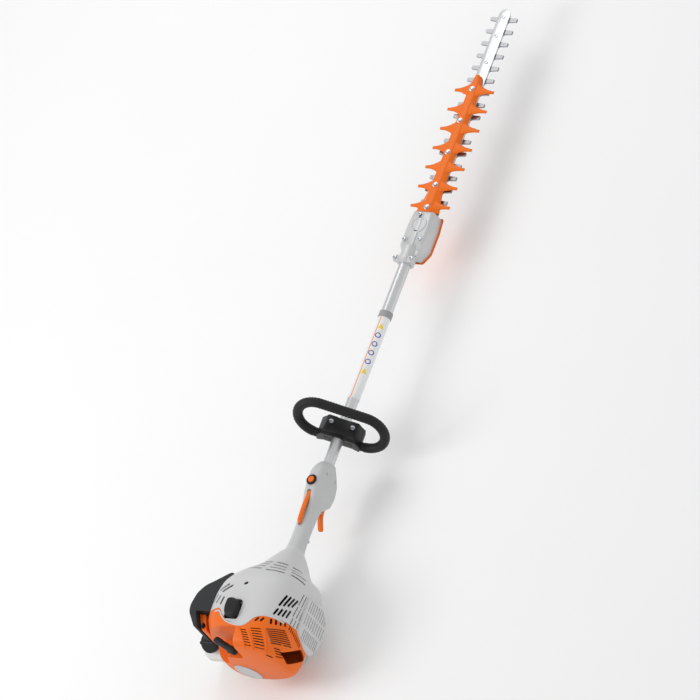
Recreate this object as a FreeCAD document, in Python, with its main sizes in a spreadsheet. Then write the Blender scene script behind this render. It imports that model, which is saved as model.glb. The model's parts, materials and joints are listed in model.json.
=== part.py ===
"""Long-reach petrol hedge trimmer with a short shaft.

Frame: +X runs along the shaft from the engine to the blade tip, +Y is the
user's left, +Z is up.  The origin is on the fuel tank's flat foot, below the axis.
Heights in the build functions are measured from the shaft axis, and every
sub-part is lifted by axis_height with its Placement.
"""
import FreeCAD, Part
import math
import os
import re
import Sketcher
from FreeCAD import Vector

doc = FreeCAD.newDocument("hedge_trimmer")

SIZES = {
    # overall
    "axis_height": 108, "run_gap": 0.05, "free_gap": 0.4,
    # engine cowl
    "rear_face": -90, "parting": -15, "neck_end": 193, "cowl_wall": 2.5,
    "notch_rear": -44, "notch_right": -40, "notch_left": 42, "notch_floor": 60,
    "pocket_front": -50, "pocket_side": -8, "pocket_floor": 41, "pocket_step": 41, "pocket_low": 14,
    # crank train
    "shaft_bore": 12, "crank_radius": 15, "bore_diameter": 34, "cylinder_x": 12,
    "case_radius": 38, "case_rear": -14, "case_front": 46, "case_wall": 5,
    "fin_size": 74, "fin_thickness": 2, "fin_gap": 5, "fin_layers": 7, "head_top": 88,
    "flywheel_radius": 46, "flywheel_rear": -48, "flywheel_width": 22, "vane_count": 14,
    "pulley_radius": 36, "pulley_rear": -82, "pulley_width": 12,
    "rope_radius": 1.75, "rope_y": 32.75, "grip_z": 64, "grip_length": 70, "grip_radius": 8, "grip_turn": 22.6,
    "clutch_radius": 26, "clutch_rear": 54, "clutch_width": 16, "drum_wall": 2.5,
    # tank and intake
    "tank_wall": 3, "tank_top": -60, "tank_front": 72, "tank_rear": -20, "tank_right": -50,
    "tank_left": 165, "tank_side": 97, "cap_radius": 22, "neck_radius": 17, "neck_tilt": -36.87,
    "cap_x": -28, "cap_y": 135, "cap_z": -20,
    "carb_width": 40, "muffler_wall": 1.5,
    # shaft
    "tube_diameter": 25.4, "tube_wall": 1.6, "tube_start": 112, "tube_end": 930,
    "shaft_diameter": 8, "bushing_length": 18, "bushing_count": 5,
    "label_start": 561, "label_end": 760, "label_wall": 0.6, "collar_length": 14, "collar_radius": 15,
    # control handle
    "handle_end": 401, "trigger_x": 330, "trigger_z": -38, "trigger_width": 12,
    "lockout_x": 320, "lockout_rear": 248, "lockout_width": 9.6, "lockout_top": 29, "lever_thickness": 7,
    "button_x": 347, "button_z": 35, "button_radius": 7.5, "bezel_radius": 12,
    # loop handle
    "loop_x": 490, "loop_turn": 30, "loop_lean": 16, "loop_half_width": 97.5, "loop_low": -15,
    "loop_high": 78, "loop_corner": 46, "loop_rear": -18, "rod_diameter": 12, "grip_diameter": 22,
    "clamp_rear": -27, "clamp_front": 15, "clamp_half_width": 48, "clamp_top": 22, "cap_half_width": 32,
    "pad_wall": 3, "bolt_offset": 24, "bolt_diameter": 6,
    # gearbox
    "gear_start": 892, "gear_end": 1022, "gear_top": 8, "gear_bottom": -30, "gear_half_width": 30,
    "gear_wall": 3, "gear_x": 987, "gear_radius": 24, "pinion_radius": 7, "cam_radius": 10,
    "wear_plate": 3,
    # cutter
    "bar_width": 29, "bar_thickness": 3, "bar_top": -11.4, "blade_thickness": 2.2, "blade_gap": 0.05,
    "stroke": 15, "tooth_pitch": 30, "tooth_count": 16, "tooth_last": 1505, "tooth_reach": 34,
    "blade_body": 24, "blade_tip": 1520, "guard_end": 1359, "guard_fin_pitch": 47.3,
    "guard_fin_count": 7, "guard_fin_first": 1040, "guard_fin_reach": 50, "guard_top": 2,
    "guard_plate": 3,
}

sheet = doc.addObject("Spreadsheet::Sheet", "Sizes")
for row, (alias, number) in enumerate(SIZES.items(), start=1):
    sheet.set("A%d" % row, alias)
    sheet.set("B%d" % row, str(number))
    sheet.setAlias("B%d" % row, alias)
doc.recompute()

NODES = []
HANDLE_SCREWS = ((222, -12), (296, -16), (372, -20), (372, 22))
BLADE_BOLTS = (1033, 1088, 1168, 1246, 1324, 1397, 1462, 1509)
GUARDED_BOLTS = 5


def size(name):
    """A driving dimension, read back from the sheet."""
    return float(sheet.get(name))


def bind(target, prop, formula):
    """Bind a property to a formula whose words are aliases in the sheet."""
    text = re.sub(r"[a-z][a-z_]+", lambda word: "Sizes." + word.group(0), str(formula))
    target.setExpression(prop, text)


def node(name, built, extra=None):
    """Register a finished sub-part: its Label names its file."""
    built.Label = name
    if extra is None:
        own = [text for path, text in built.ExpressionEngine if path.endswith("Placement.Base.z")]
        built.setExpression("Placement.Base.z", " + ".join(["Sizes.axis_height"] + ["(%s)" % text for text in own]))
    else:
        built.Placement = extra
    NODES.append(built)
    return built


def box(x0, x1, y0, y1, z0, z1):
    """Box between two corners, each given as a number or a formula."""
    made = doc.addObject("Part::Box", "box")
    for prop, low, high in (("Length", x0, x1), ("Width", y0, y1), ("Height", z0, z1)):
        bind(made, prop, "(%s) - (%s)" % (high, low))
    for prop, low in (("x", x0), ("y", y0), ("z", z0)):
        bind(made, "Placement.Base." + prop, low)
    return made


def rod(axis, radius, start, end, first=0, second=0):
    """Cylinder along X, Y or Z; first and second place it on the other two axes."""
    made = doc.addObject("Part::Cylinder", "rod")
    bind(made, "Radius", radius)
    bind(made, "Height", "(%s) - (%s)" % (end, start))
    turns = {"x": (Vector(0, 1, 0), 90), "y": (Vector(1, 0, 0), -90), "z": (Vector(0, 0, 1), 0)}
    places = {"x": (start, first, second), "y": (first, start, second), "z": (first, second, start)}
    made.Placement = FreeCAD.Placement(Vector(0, 0, 0), FreeCAD.Rotation(*turns[axis]))
    for prop, place in zip("xyz", places[axis]):
        bind(made, "Placement.Base." + prop, place)
    return made


def place_by_hand(piece, centre, turn):
    """Turn a primitive about the frame's origin and then move it to a centre."""
    piece.recompute()
    base = piece.Placement.Base
    for prop in "xyz":
        piece.setExpression("Placement.Base." + prop, None)
    piece.Placement = FreeCAD.Placement(centre + turn.multVec(base), turn.multiply(piece.Placement.Rotation))


def cone(axis_start, axis_end, radius_start, radius_end):
    """Cone along X, centred on the shaft axis."""
    made = doc.addObject("Part::Cone", "cone")
    bind(made, "Radius1", radius_start)
    bind(made, "Radius2", radius_end)
    bind(made, "Height", "(%s) - (%s)" % (axis_end, axis_start))
    made.Placement = FreeCAD.Placement(Vector(0, 0, 0), FreeCAD.Rotation(Vector(0, 1, 0), 90))
    bind(made, "Placement.Base.x", axis_start)
    return made


def fuse(pieces):
    made = doc.addObject("Part::MultiFuse", "joined")
    made.Shapes = pieces
    return made


def cut(base, tools):
    made = doc.addObject("Part::Cut", "cut")
    made.Base = base
    made.Tool = tools[0] if len(tools) == 1 else fuse(tools)
    return made


def common(first, second):
    made = doc.addObject("Part::Common", "common")
    made.Base = first
    made.Tool = second
    return made


def feature(shape):
    """A shape made with Part's own functions, as a document object."""
    made = doc.addObject("Part::Feature", "shape")
    made.Shape = shape
    return made


def outline(sketch, corners):
    """Closed outline whose corners are bound to formulas in the sheet."""
    first = sketch.GeometryCount
    count = len(corners)
    spots = [Vector(evaluate(u), evaluate(v), 0) for u, v in corners]
    for index in range(count):
        sketch.addGeometry(Part.LineSegment(spots[index], spots[(index + 1) % count]), False)
    for index, (u, v) in enumerate(corners):
        edge = first + index
        after = first + (index + 1) % count
        sketch.addConstraint(Sketcher.Constraint("Coincident", edge, 2, after, 1))
        for kind, formula, number in (("DistanceX", u, spots[index].x), ("DistanceY", v, spots[index].y)):
            place = sketch.addConstraint(Sketcher.Constraint(kind, -1, 1, edge, 1, number))
            bind(sketch, "Constraints[%d]" % place, formula)


def ring(sketch, radius, u=0, v=0):
    """Circle in a sketch, bound to formulas."""
    made = sketch.addGeometry(Part.Circle(Vector(evaluate(u), evaluate(v), 0), Vector(0, 0, 1), evaluate(radius)))
    place = sketch.addConstraint(Sketcher.Constraint("Radius", made, evaluate(radius)))
    bind(sketch, "Constraints[%d]" % place, radius)
    for kind, formula in (("DistanceX", u), ("DistanceY", v)):
        place = sketch.addConstraint(Sketcher.Constraint(kind, -1, 1, made, 3, evaluate(formula)))
        bind(sketch, "Constraints[%d]" % place, formula)


def evaluate(formula):
    """Number of a formula, by way of a cell of the sheet."""
    sheet.set("D1", "=" + str(formula))
    sheet.recompute()
    return float(sheet.get("D1"))


def new_body(name):
    made = doc.addObject("PartDesign::Body", name)
    return made


def sketch_on(body, plane, name):
    """Sketch attached to one of the body's own origin planes."""
    made = body.newObject("Sketcher::SketchObject", name)
    support = [f for f in body.Origin.OriginFeatures if f.Role == plane][0]
    made.AttachmentSupport = [(support, "")]
    made.MapMode = "FlatFace"
    return made


def pad(body, sketch, low, high):
    """Pad between two levels along the sketch's normal."""
    made = body.newObject("PartDesign::Pad", "pad")
    made.Profile = sketch
    bind(made, "Length", "(%s) - (%s)" % (high, low))
    bind(sketch, "AttachmentOffset.Base.z", low)
    return made


def pocket(body, sketch, low, high):
    """Pocket between two levels; it runs from the high level down."""
    made = body.newObject("PartDesign::Pocket", "pocket")
    made.Profile = sketch
    bind(made, "Length", "(%s) - (%s)" % (high, low))
    bind(sketch, "AttachmentOffset.Base.z", high)
    return made


# ---------------------------------------------------------------- cowl
# station: x, left, right, up, down, squareness
COWL = (
    (-90, 54, 92, 86, 47, 2.4), (-86, 64, 100, 96, 52, 2.5), (-76, 75, 106, 103, 55.5, 2.7),
    (-55, 88, 109, 107, 57, 2.8), (-15, 108, 107, 111, 57, 2.9), (30, 110, 105, 110, 57, 2.9),
    (62, 106, 105, 107, 57, 2.8), (84, 95, 103, 99, 57, 2.7), (100, 84, 97, 89, 57, 2.5),
    (112, 74, 88, 79, 56, 2.3), (122, 67, 72, 70, 55, 2.1), (142, 53, 53, 53, 50, 2),
    (160, 42, 42, 42, 42, 2), (176, 31.5, 31.5, 31.5, 31.5, 2), (193, 21, 21, 21, 21, 2),
)
HANDLE = (
    (193, 21, 21, 21, 21, 2), (205, 19.5, 19.5, 19.5, 19.5, 2), (235, 18.5, 18.5, 19, 19, 2),
    (280, 18.5, 18.5, 20, 20, 2.2), (298, 18.5, 18.5, 23, 23, 2.5), (312, 19, 19, 27, 36, 3),
    (325, 19, 19, 31, 47, 3.4), (345, 19, 19, 35, 50, 3.4), (366, 19, 19, 36, 45, 3.4),
    (382, 18.5, 18.5, 32, 34, 3), (393, 17.5, 17.5, 26, 25, 2.6), (401, 16.5, 16.5, 19, 18, 2.2),
)
SECTION_POINTS = 28


def section_wire(x, left, right, up, down, power, inset):
    """Closed smooth section: a superellipse with its own reach on each side."""
    points = []
    for index in range(SECTION_POINTS):
        turn = 2 * math.pi * index / SECTION_POINTS
        across = math.copysign(abs(math.cos(turn)) ** (2 / power), math.cos(turn))
        rise = math.copysign(abs(math.sin(turn)) ** (2 / power), math.sin(turn))
        y = across * ((left if across > 0 else right) - inset)
        z = rise * ((up if rise > 0 else down) - inset)
        points.append(Vector(x, y, z))
    curve = Part.BSplineCurve()
    curve.interpolate(Points=points, PeriodicFlag=True)
    return Part.Wire([curve.toShape()])


def skin(stations, inset=0, first_shift=0, last_shift=0):
    """Loft through stations; its ends can be moved along X."""
    wires = []
    for index, station in enumerate(stations):
        x = station[0]
        x += first_shift if index == 0 else 0
        x += last_shift if index == len(stations) - 1 else 0
        wires.append(section_wire(x, *station[1:], inset))
    return Part.makeLoft(wires, True, False)


def slab(x0, x1, y0, y1, z0, z1):
    return Part.makeBox(x1 - x0, y1 - y0, z1 - z0, Vector(x0, y0, z0))


def barrel(axis, radius, start, end, first=0, second=0):
    """Cylinder shape along X, Y or Z."""
    spots = {"x": (start, first, second), "y": (first, start, second), "z": (first, second, start)}
    ways = {"x": Vector(1, 0, 0), "y": Vector(0, 1, 0), "z": Vector(0, 0, 1)}
    return Part.makeCylinder(radius, end - start, Vector(*spots[axis]), ways[axis])


def build_cowl():
    """Shroud and starter housing: one skin, parted across with a notch for the plug."""
    wall = size("cowl_wall")
    outer = skin(COWL)
    inner = skin(COWL, wall, first_shift=wall, last_shift=1)
    shell = outer.cut(inner)
    big = 400
    notch = slab(size("notch_rear"), size("parting") + 1, size("notch_right"), size("notch_left"),
                 size("notch_floor"), big)
    front = slab(size("parting"), big, -big, big, -big, big).fuse(notch)
    gap = size("free_gap")
    hole = slab(-33 - gap, 13 + gap, -5 - gap, 31 + gap, 60, big)
    mouth = barrel("x", size("tube_diameter") / 2 + size("free_gap"), 150, big)
    shroud = shell.common(front).cut(hole).cut(mouth).cut(intake_opening()).cut(muffler_opening())
    rear = outer.cut(front).cut(pocket_room(0)).cut(inner.cut(pocket_room(wall)))
    rope_x = size("pulley_rear") + size("pulley_width") / 2
    rope_hole = barrel("z", 4, size("pocket_floor") - wall - 1, size("pocket_floor") + 1, rope_x, size("rope_y"))
    vent = slab(-82, -52, -130, -90, 2, 36)
    rear = rear.cut(rope_hole).cut(vent)
    node("engine_shroud", feature(shroud))
    node("starter_housing", feature(rear))


def pocket_room(grow):
    """Open corner of the starter housing where its grip lies, grown by a wall."""
    big = 400
    front = size("pocket_front") + grow
    upper = slab(-big, front, size("pocket_side") - grow, big, size("pocket_floor") - grow, big)
    lower = slab(-big, front, size("pocket_step") - grow, big, size("pocket_low") - grow, big)
    return upper.fuse(lower)


def cowl_room():
    """Space of the cowl with a free gap round it, for cutting its neighbours."""
    return skin(COWL, -size("free_gap"))


def intake_opening():
    """Opening in the shroud that the filter element passes through."""
    gap = size("free_gap")
    return slab(-gap, 44 + gap, 84, 130, 16 - gap, 72 + gap)


def muffler_opening():
    return slab(4, 52, -130, -94, -20, 40)


def build_badge():
    """Blank oval plate on the starter housing's rear face."""
    centre = Vector(size("rear_face"), 17, -21)
    lean = math.radians(43)
    long_way = Vector(0, math.cos(lean), math.sin(lean)) * 31
    short_way = Vector(0, -math.sin(lean), math.cos(lean)) * 17
    rim = Part.Ellipse(centre + long_way, centre + short_way, centre)
    face = Part.Face(Part.Wire([rim.toShape()]))
    node("badge_plate", feature(face.extrude(Vector(-1.6, 0, 0))))


# ---------------------------------------------------------------- engine
def build_crankcase():
    outer = fuse([rod("x", "case_radius", "case_rear", "case_front"),
                  box("cylinder_x - 27", "cylinder_x + 27", -27, 27, 10, "case_radius + 4")])
    cavity = rod("x", "case_radius - case_wall", "case_rear + case_wall", "case_front - case_wall")
    bearings = rod("x", "shaft_bore / 2 + run_gap", "case_rear - 1", "case_front + 1")
    transfer = rod("z", "bore_diameter / 2 + 1", 0, "case_radius + 5", "cylinder_x")
    node("crankcase", cut(outer, [cavity, bearings, transfer]))


def build_cylinder():
    """Finned cylinder with its head, bored for the piston and the plug."""
    base = "case_radius + 4"
    pieces = [rod("z", 26, base, "head_top", "cylinder_x"), box("cylinder_x - 27", "cylinder_x + 27", -27, 27, base, base + " + 5")]
    for layer in range(int(size("fin_layers"))):
        low = "case_radius + 14 + %d * fin_gap" % layer
        pieces.append(box("cylinder_x - fin_size / 2", "cylinder_x + fin_size / 2", "-fin_size / 2 + 2",
                          "fin_size / 2 - 2", low, low + " + fin_thickness"))
    bore = rod("z", "bore_diameter / 2", "case_radius", "head_top - 8", "cylinder_x")
    plug = rod("z", 5, "head_top - 9", "head_top + 1", "cylinder_x")
    ports = [rod("y", 9, 10, 30, "cylinder_x", 56), rod("y", 9, -30, -10, "cylinder_x", 52)]
    node("cylinder", cut(fuse(pieces), [bore, plug] + ports))


def build_piston():
    crown = rod("z", "bore_diameter / 2 - run_gap", 50, 76, "cylinder_x")
    hollow = rod("z", "bore_diameter / 2 - 3", 49, 71, "cylinder_x")
    pin = rod("y", 4, "-bore_diameter / 2 + 1", "bore_diameter / 2 - 1", "cylinder_x", 60)
    node("piston", fuse([cut(crown, [hollow]), pin]))


def build_spark_plug():
    thread = rod("z", "5 - run_gap", "head_top - 8", "head_top", "cylinder_x")
    hexagon = doc.addObject("Part::Prism", "hexagon")
    hexagon.Polygon = 6
    hexagon.Circumradius = 9
    hexagon.Height = 8
    bind(hexagon, "Placement.Base.x", "cylinder_x")
    bind(hexagon, "Placement.Base.z", "head_top")
    porcelain = rod("z", 5, "head_top + 8", "head_top + 16", "cylinder_x")
    node("spark_plug", fuse([thread, hexagon, porcelain]))


def build_plug_boot():
    """Rubber boot over the plug, leaning out of the shroud's notch."""
    block = slab(-33, 13, -5, 31, 98, 124)
    block = block.makeFillet(7, block.Edges)
    sleeve = barrel("z", 9, size("head_top") + 9, 106, size("cylinder_x"))
    socket = barrel("z", 5 + size("run_gap"), 90, size("head_top") + 16.5, size("cylinder_x"))
    node("spark_plug_boot", feature(block.fuse(sleeve).cut(socket)))


def build_crankshaft():
    webs = [rod("x", 27, "cylinder_x - 14", "cylinder_x - 5"), rod("x", 27, "cylinder_x + 5", "cylinder_x + 14")]
    journals = [rod("x", "shaft_bore / 2", -86, "cylinder_x - 14"),
                rod("x", "shaft_bore / 2", "cylinder_x + 14", "clutch_rear + clutch_width")]
    crank_pin = rod("x", 5, "cylinder_x - 5", "cylinder_x + 5", 0, "crank_radius")
    lightening = box("cylinder_x - 15", "cylinder_x + 15", -30, 30, 21, 30)
    node("crankshaft", cut(fuse(webs + journals + [crank_pin]), [lightening]))


def build_flywheel():
    """Fan flywheel: disc, hub and curved row of flat vanes."""
    front = "flywheel_rear + flywheel_width"
    pieces = [rod("x", "flywheel_radius", front + " - 5", front), rod("x", 13, "flywheel_rear", front)]
    for index in range(int(size("vane_count"))):
        vane = box("flywheel_rear + 2", front + " - 4", 12, "flywheel_radius - 1", -1, 1)
        turn = FreeCAD.Rotation(Vector(1, 0, 0), 360 * index / size("vane_count"))
        place_by_hand(vane, Vector(0, 0, 0), turn)
        pieces.append(vane)
    node("flywheel", cut(fuse(pieces), [rod("x", "shaft_bore / 2", "flywheel_rear - 1", front + " + 1")]))


def build_starter():
    """Pulley on its post, rope and T grip."""
    rear = "pulley_rear"
    front = "pulley_rear + pulley_width"
    wheel = fuse([rod("x", "pulley_radius", rear, rear + " + 3"), rod("x", "pulley_radius", front + " - 3", front),
                  rod("x", "pulley_radius - 5", rear, front)])
    node("starter_pulley", cut(wheel, [rod("x", "shaft_bore / 2 + 1", rear + " - 1", front + " + 1")]))
    rope_x = "pulley_rear + pulley_width / 2"
    node("starter_rope", rod("z", "rope_radius", "-pulley_radius + 10", "grip_z - 2", rope_x, "rope_y"))
    bar = rod("y", "grip_radius", "-grip_length / 2", "grip_length / 2")
    centre = Vector(evaluate(rope_x), size("rope_y"), size("grip_z"))
    place_by_hand(bar, centre, FreeCAD.Rotation(Vector(0, 0, 1), -size("grip_turn")))
    neck = rod("z", 6.5, "pocket_floor + free_gap", "grip_z", rope_x, "rope_y")
    hole = rod("z", "rope_radius", "pocket_floor", "grip_z - 2", rope_x, "rope_y")
    node("starter_grip", cut(fuse([bar, neck]), [hole]))
    bush = cut(rod("z", 4, "pocket_floor - cowl_wall", "pocket_floor", rope_x, "rope_y"),
               [rod("z", "rope_radius + run_gap", "pocket_floor - cowl_wall - 1", "pocket_floor + 1", rope_x, "rope_y")])
    node("rope_bush", bush)


def build_clutch():
    rear = "clutch_rear"
    front = "clutch_rear + clutch_width"
    shoes = cut(rod("x", "clutch_radius", rear, front),
                [rod("x", "shaft_bore / 2", rear + " - 1", front + " + 1"), box(rear + " - 1", front + " + 1", -30, -9, -1.5, 1.5),
                 box(rear + " - 1", front + " + 1", 9, 30, -1.5, 1.5)])
    node("clutch_shoes", shoes)
    drum_radius = "clutch_radius + free_gap + drum_wall"
    cup = cut(fuse([rod("x", drum_radius, rear, front + " + 5"), rod("x", 10, front + " + 5", front + " + 38")]),
              [rod("x", "clutch_radius + free_gap", rear + " - 1", front + " + 2"),
               rod("x", "shaft_diameter / 2", front + " + 1", front + " + 39")])
    node("clutch_drum", cup)


def build_clutch_case():
    """Bell that carries the clutch drum's bearing and clamps the tube."""
    outer = fuse([rod("x", 40, "case_front", 66), cone(66, 100, 40, 19), rod("x", 19, 100, 148)])
    inner = fuse([rod("x", 33, "case_front - 1", 76), cone(76, 88, 33, 14), rod("x", "10 + run_gap", 87, 149)])
    seat = rod("x", "tube_diameter / 2", "tube_start", 149)
    hollow = rod("x", 14, "case_front - 2", "case_front + 1")
    node("clutch_case", cut(outer, [inner, seat, hollow]))


def build_muffler():
    can = cut(box(-6, 56, -92, -52, -24, 64), [box("-6 + muffler_wall", "56 - muffler_wall", "-92 + muffler_wall",
              "-52 - muffler_wall", "-24 + muffler_wall", "64 - muffler_wall")])
    inlet = rod("y", 9, -54, -27, "cylinder_x", 52)
    outlet = rod("y", 6, -96, -88, 40, 8)
    node("muffler", cut(fuse([can, inlet]), [outlet, rod("y", 6, -60, -23, "cylinder_x", 52), cylinder_space()]))


def cylinder_space():
    """Room that the crankcase and the cylinder take."""
    return fuse([rod("x", "case_radius", "case_rear", "case_front"),
                 rod("z", 26, "case_radius + 4", "head_top", "cylinder_x"),
                 box("cylinder_x - 38", "cylinder_x + 38", -36, 36, "case_radius", "head_top + 1"),
                 box("cylinder_x - 27", "cylinder_x + 27", -27, 27, 10, "case_radius + 4")])


def build_carburetor():
    body = fuse([box("cylinder_x - carb_width / 2", "cylinder_x + carb_width / 2", 48, 76, 34, 70),
                 rod("y", 10, 35, 48, "cylinder_x", 56)])
    throat = rod("y", 7, 34, 77, "cylinder_x", 56)
    seat = rod("x", "9 + free_gap", "cylinder_x + carb_width / 2 - 3", "cylinder_x + carb_width / 2 + 1", 62, 46)
    node("carburetor", cut(body, [throat, seat]))
    wheel = rod("z", 8, 70, 74, "cylinder_x", 62)
    node("throttle_pulley", wheel)


def plate_of(corners, low, high):
    """Straight-sided plate over a plan, between two heights."""
    points = [Vector(x, y, low) for x, y in close(corners)]
    return Part.Face(Part.makePolygon(points)).extrude(Vector(0, 0, high - low))


def build_intake():
    """Filter base, paper element, dark cover and the orange panel behind it."""
    base = cut(box(-4, 50, 76, 90, 12, 74), [rod("y", 9, 75, 91, "cylinder_x", 56)])
    node("filter_base", base)
    element = cut(box(0, 44, 90, 122, 16, 72), [box(6, 38, 89, 116, 22, 66)])
    node("filter_element", element)
    gap = size("free_gap")
    plan = ((90, 70), (90, 78), (68, 109), (55, 129), (36, 143), (7, 149), (-10, 146), (-45, 120), (-45, 110),
            (-6, 130), (-6, 70))
    inside = ((84, 60), (84, 79), (66, 107), (53, 127), (35, 140.4), (7, 146.4), (-3.5, 144.6), (-3.5, 60))
    shell = plate_of(plan, -30, 80).cut(plate_of(inside, -4, 77.5)).cut(cowl_room())
    shell = shell.cut(slab(-80, 60 + gap, 96, 170, -60, -8 + gap))
    turn = FreeCAD.Rotation(Vector(0, 1, 0), size("neck_tilt"))
    reach = Part.makeCylinder(size("cap_radius") + 1.5, 60, Vector(0, 0, -6))
    reach.Placement = FreeCAD.Placement(Vector(size("cap_x"), size("cap_y"), size("cap_z")), turn)
    node("air_filter_cover", feature(shell.cut(reach)))
    panel = new_body("intake_panel_body")
    plan = sketch_on(panel, "XY_Plane", "panel_plan")
    outline(plan, ((-6, 112), (-6, 129.4), (-44, 109), (-44, 96)))
    pad(panel, plan, 2, 64)
    node("intake_panel", cut(panel, [feature(cowl_room())]))
    node("choke_lever", fuse([box(-40, -30, 104, 108, 64.5, 72), rod("z", 4, 64.5, 68, -35, 106)]))


def build_tank():
    """Fuel tank: a low block under the engine and a taller one at the left."""
    low = new_body("tank_body")
    side = sketch_on(low, "XZ_Plane", "tank_side")
    profile = ((60, "-axis_height"), (-20, "-axis_height"), (-48, -72), (-50, -44), (-12, -8), (60, -8))
    outline(side, profile)
    pad(low, side, "-tank_left", "-tank_side")
    foot = box("tank_rear", "tank_front", "tank_right", "tank_side", "-axis_height", "tank_top")
    floor = "tank_wall - axis_height"
    room = [box("tank_rear + tank_wall", "tank_front - tank_wall", "tank_right + tank_wall", "tank_side - tank_wall",
                floor, "tank_top - tank_wall"),
            box("tank_rear + tank_wall", "60 - tank_wall", "tank_side - tank_wall - 1", "tank_side + 17", floor,
                "tank_top - tank_wall"),
            box(-9, "60 - tank_wall", "tank_side + 16", "tank_left - tank_wall", floor, "-8 - tank_wall"),
            box(-36, -8, "tank_side + 16", "tank_left - tank_wall", -76, -46)]
    neck = rod("z", "neck_radius", -4, 6)
    throat = rod("z", "neck_radius - 3", -20, 8)
    for piece in (neck, throat):
        tilt_to_filler(piece)
    node("fuel_tank", cut(fuse([low, foot, neck]), room + [throat, feature(cowl_room())]))


def tilt_to_filler(piece):
    """Move a piece modelled about Z onto the filler's slanted axis."""
    lean = FreeCAD.Rotation(Vector(0, 1, 0), size("neck_tilt"))
    place_by_hand(piece, Vector(size("cap_x"), size("cap_y"), size("cap_z")), lean)


def build_cap():
    """Round filler cap with a finger rib across it."""
    crown = rod("z", "cap_radius", "2 + free_gap", 14)
    rib = box("-cap_radius + 2", "cap_radius - 2", -4, 4, 14, 20)
    inside = rod("z", "neck_radius + run_gap", 2, 8)
    for piece in (crown, rib, inside):
        tilt_to_filler(piece)
    node("fuel_cap", cut(fuse([crown, rib]), [inside]))


def build_primer():
    """Priming bulb on the front of the carburettor side."""
    bulb = doc.addObject("Part::Sphere", "bulb")
    bulb.Radius = 9
    bind(bulb, "Placement.Base.x", "cylinder_x + carb_width / 2 - 1")
    bind(bulb, "Placement.Base.y", 62)
    bind(bulb, "Placement.Base.z", 46)
    face = "cylinder_x + carb_width / 2 - 1"
    node("primer_bulb", common(bulb, box(face, face + " + 12", 50, 74, 34, 58)))


# ---------------------------------------------------------------- shaft
def build_shaft():
    tube = new_body("tube_body")
    rim = sketch_on(tube, "YZ_Plane", "tube_section")
    ring(rim, "tube_diameter / 2")
    ring(rim, "tube_diameter / 2 - tube_wall")
    pad(tube, rim, "tube_start", "tube_end")
    node("drive_tube", tube)
    start = "clutch_rear + clutch_width + 8"
    node("drive_shaft", rod("x", "shaft_diameter / 2", start, 950))
    span = size("tube_end") - size("tube_start")
    rings = []
    for index in range(int(size("bushing_count"))):
        low = size("tube_start") + span * (index + 0.6) / size("bushing_count")
        outer = rod("x", "tube_diameter / 2 - tube_wall", low, "%f + bushing_length" % low)
        rings.append(cut(outer, [rod("x", "shaft_diameter / 2 + run_gap", low - 1, "%f + bushing_length + 1" % low)]))
    node("shaft_bushings", fuse(rings))
    sleeve = cut(rod("x", "tube_diameter / 2 + label_wall", "label_start", "label_end"),
                 [rod("x", "tube_diameter / 2", "label_start - 1", "label_end + 1")])
    node("label_sleeve", sleeve)
    collar = cut(rod("x", "collar_radius", "label_end", "label_end + collar_length"),
                 [rod("x", "tube_diameter / 2", "label_end - 1", "label_end + collar_length + 1")])
    node("tube_collar", collar)


# ---------------------------------------------------------------- control handle
def build_handle():
    """Two moulded halves round the tube, with room for the controls."""
    whole = skin(HANDLE)
    bore = barrel("x", size("tube_diameter") / 2, 190, 410)
    width = size("lockout_width") / 2 + size("free_gap")
    room = bore.fuse(slab(size("lockout_rear") - 2, size("lockout_x") + 6, -width, width, 13, 60))
    wide = size("trigger_width") / 2 + size("free_gap")
    room = room.fuse(slab(268, 352, -wide, wide, -66, -13.5))
    room = room.fuse(barrel("z", size("bezel_radius") - 2, 14, 60, size("button_x")))
    room = room.fuse(barrel("y", 3, -11, 11, size("trigger_x"), size("trigger_z")))
    room = room.fuse(barrel("y", 2.5, -9, 9, size("lockout_x"), 23))
    room = room.fuse(barrel("z", size("bezel_radius") + size("run_gap"), size("button_z"), 60, size("button_x")))
    for x, z in HANDLE_SCREWS:
        room = room.fuse(barrel("y", 3.2, -30, -12, x, z))
    hollow = whole.cut(room)
    node("handle_shell_left", feature(hollow.common(slab(180, 410, 0, 60, -80, 80))))
    node("handle_shell_right", feature(hollow.common(slab(180, 410, -60, 0, -80, 80))))


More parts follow.
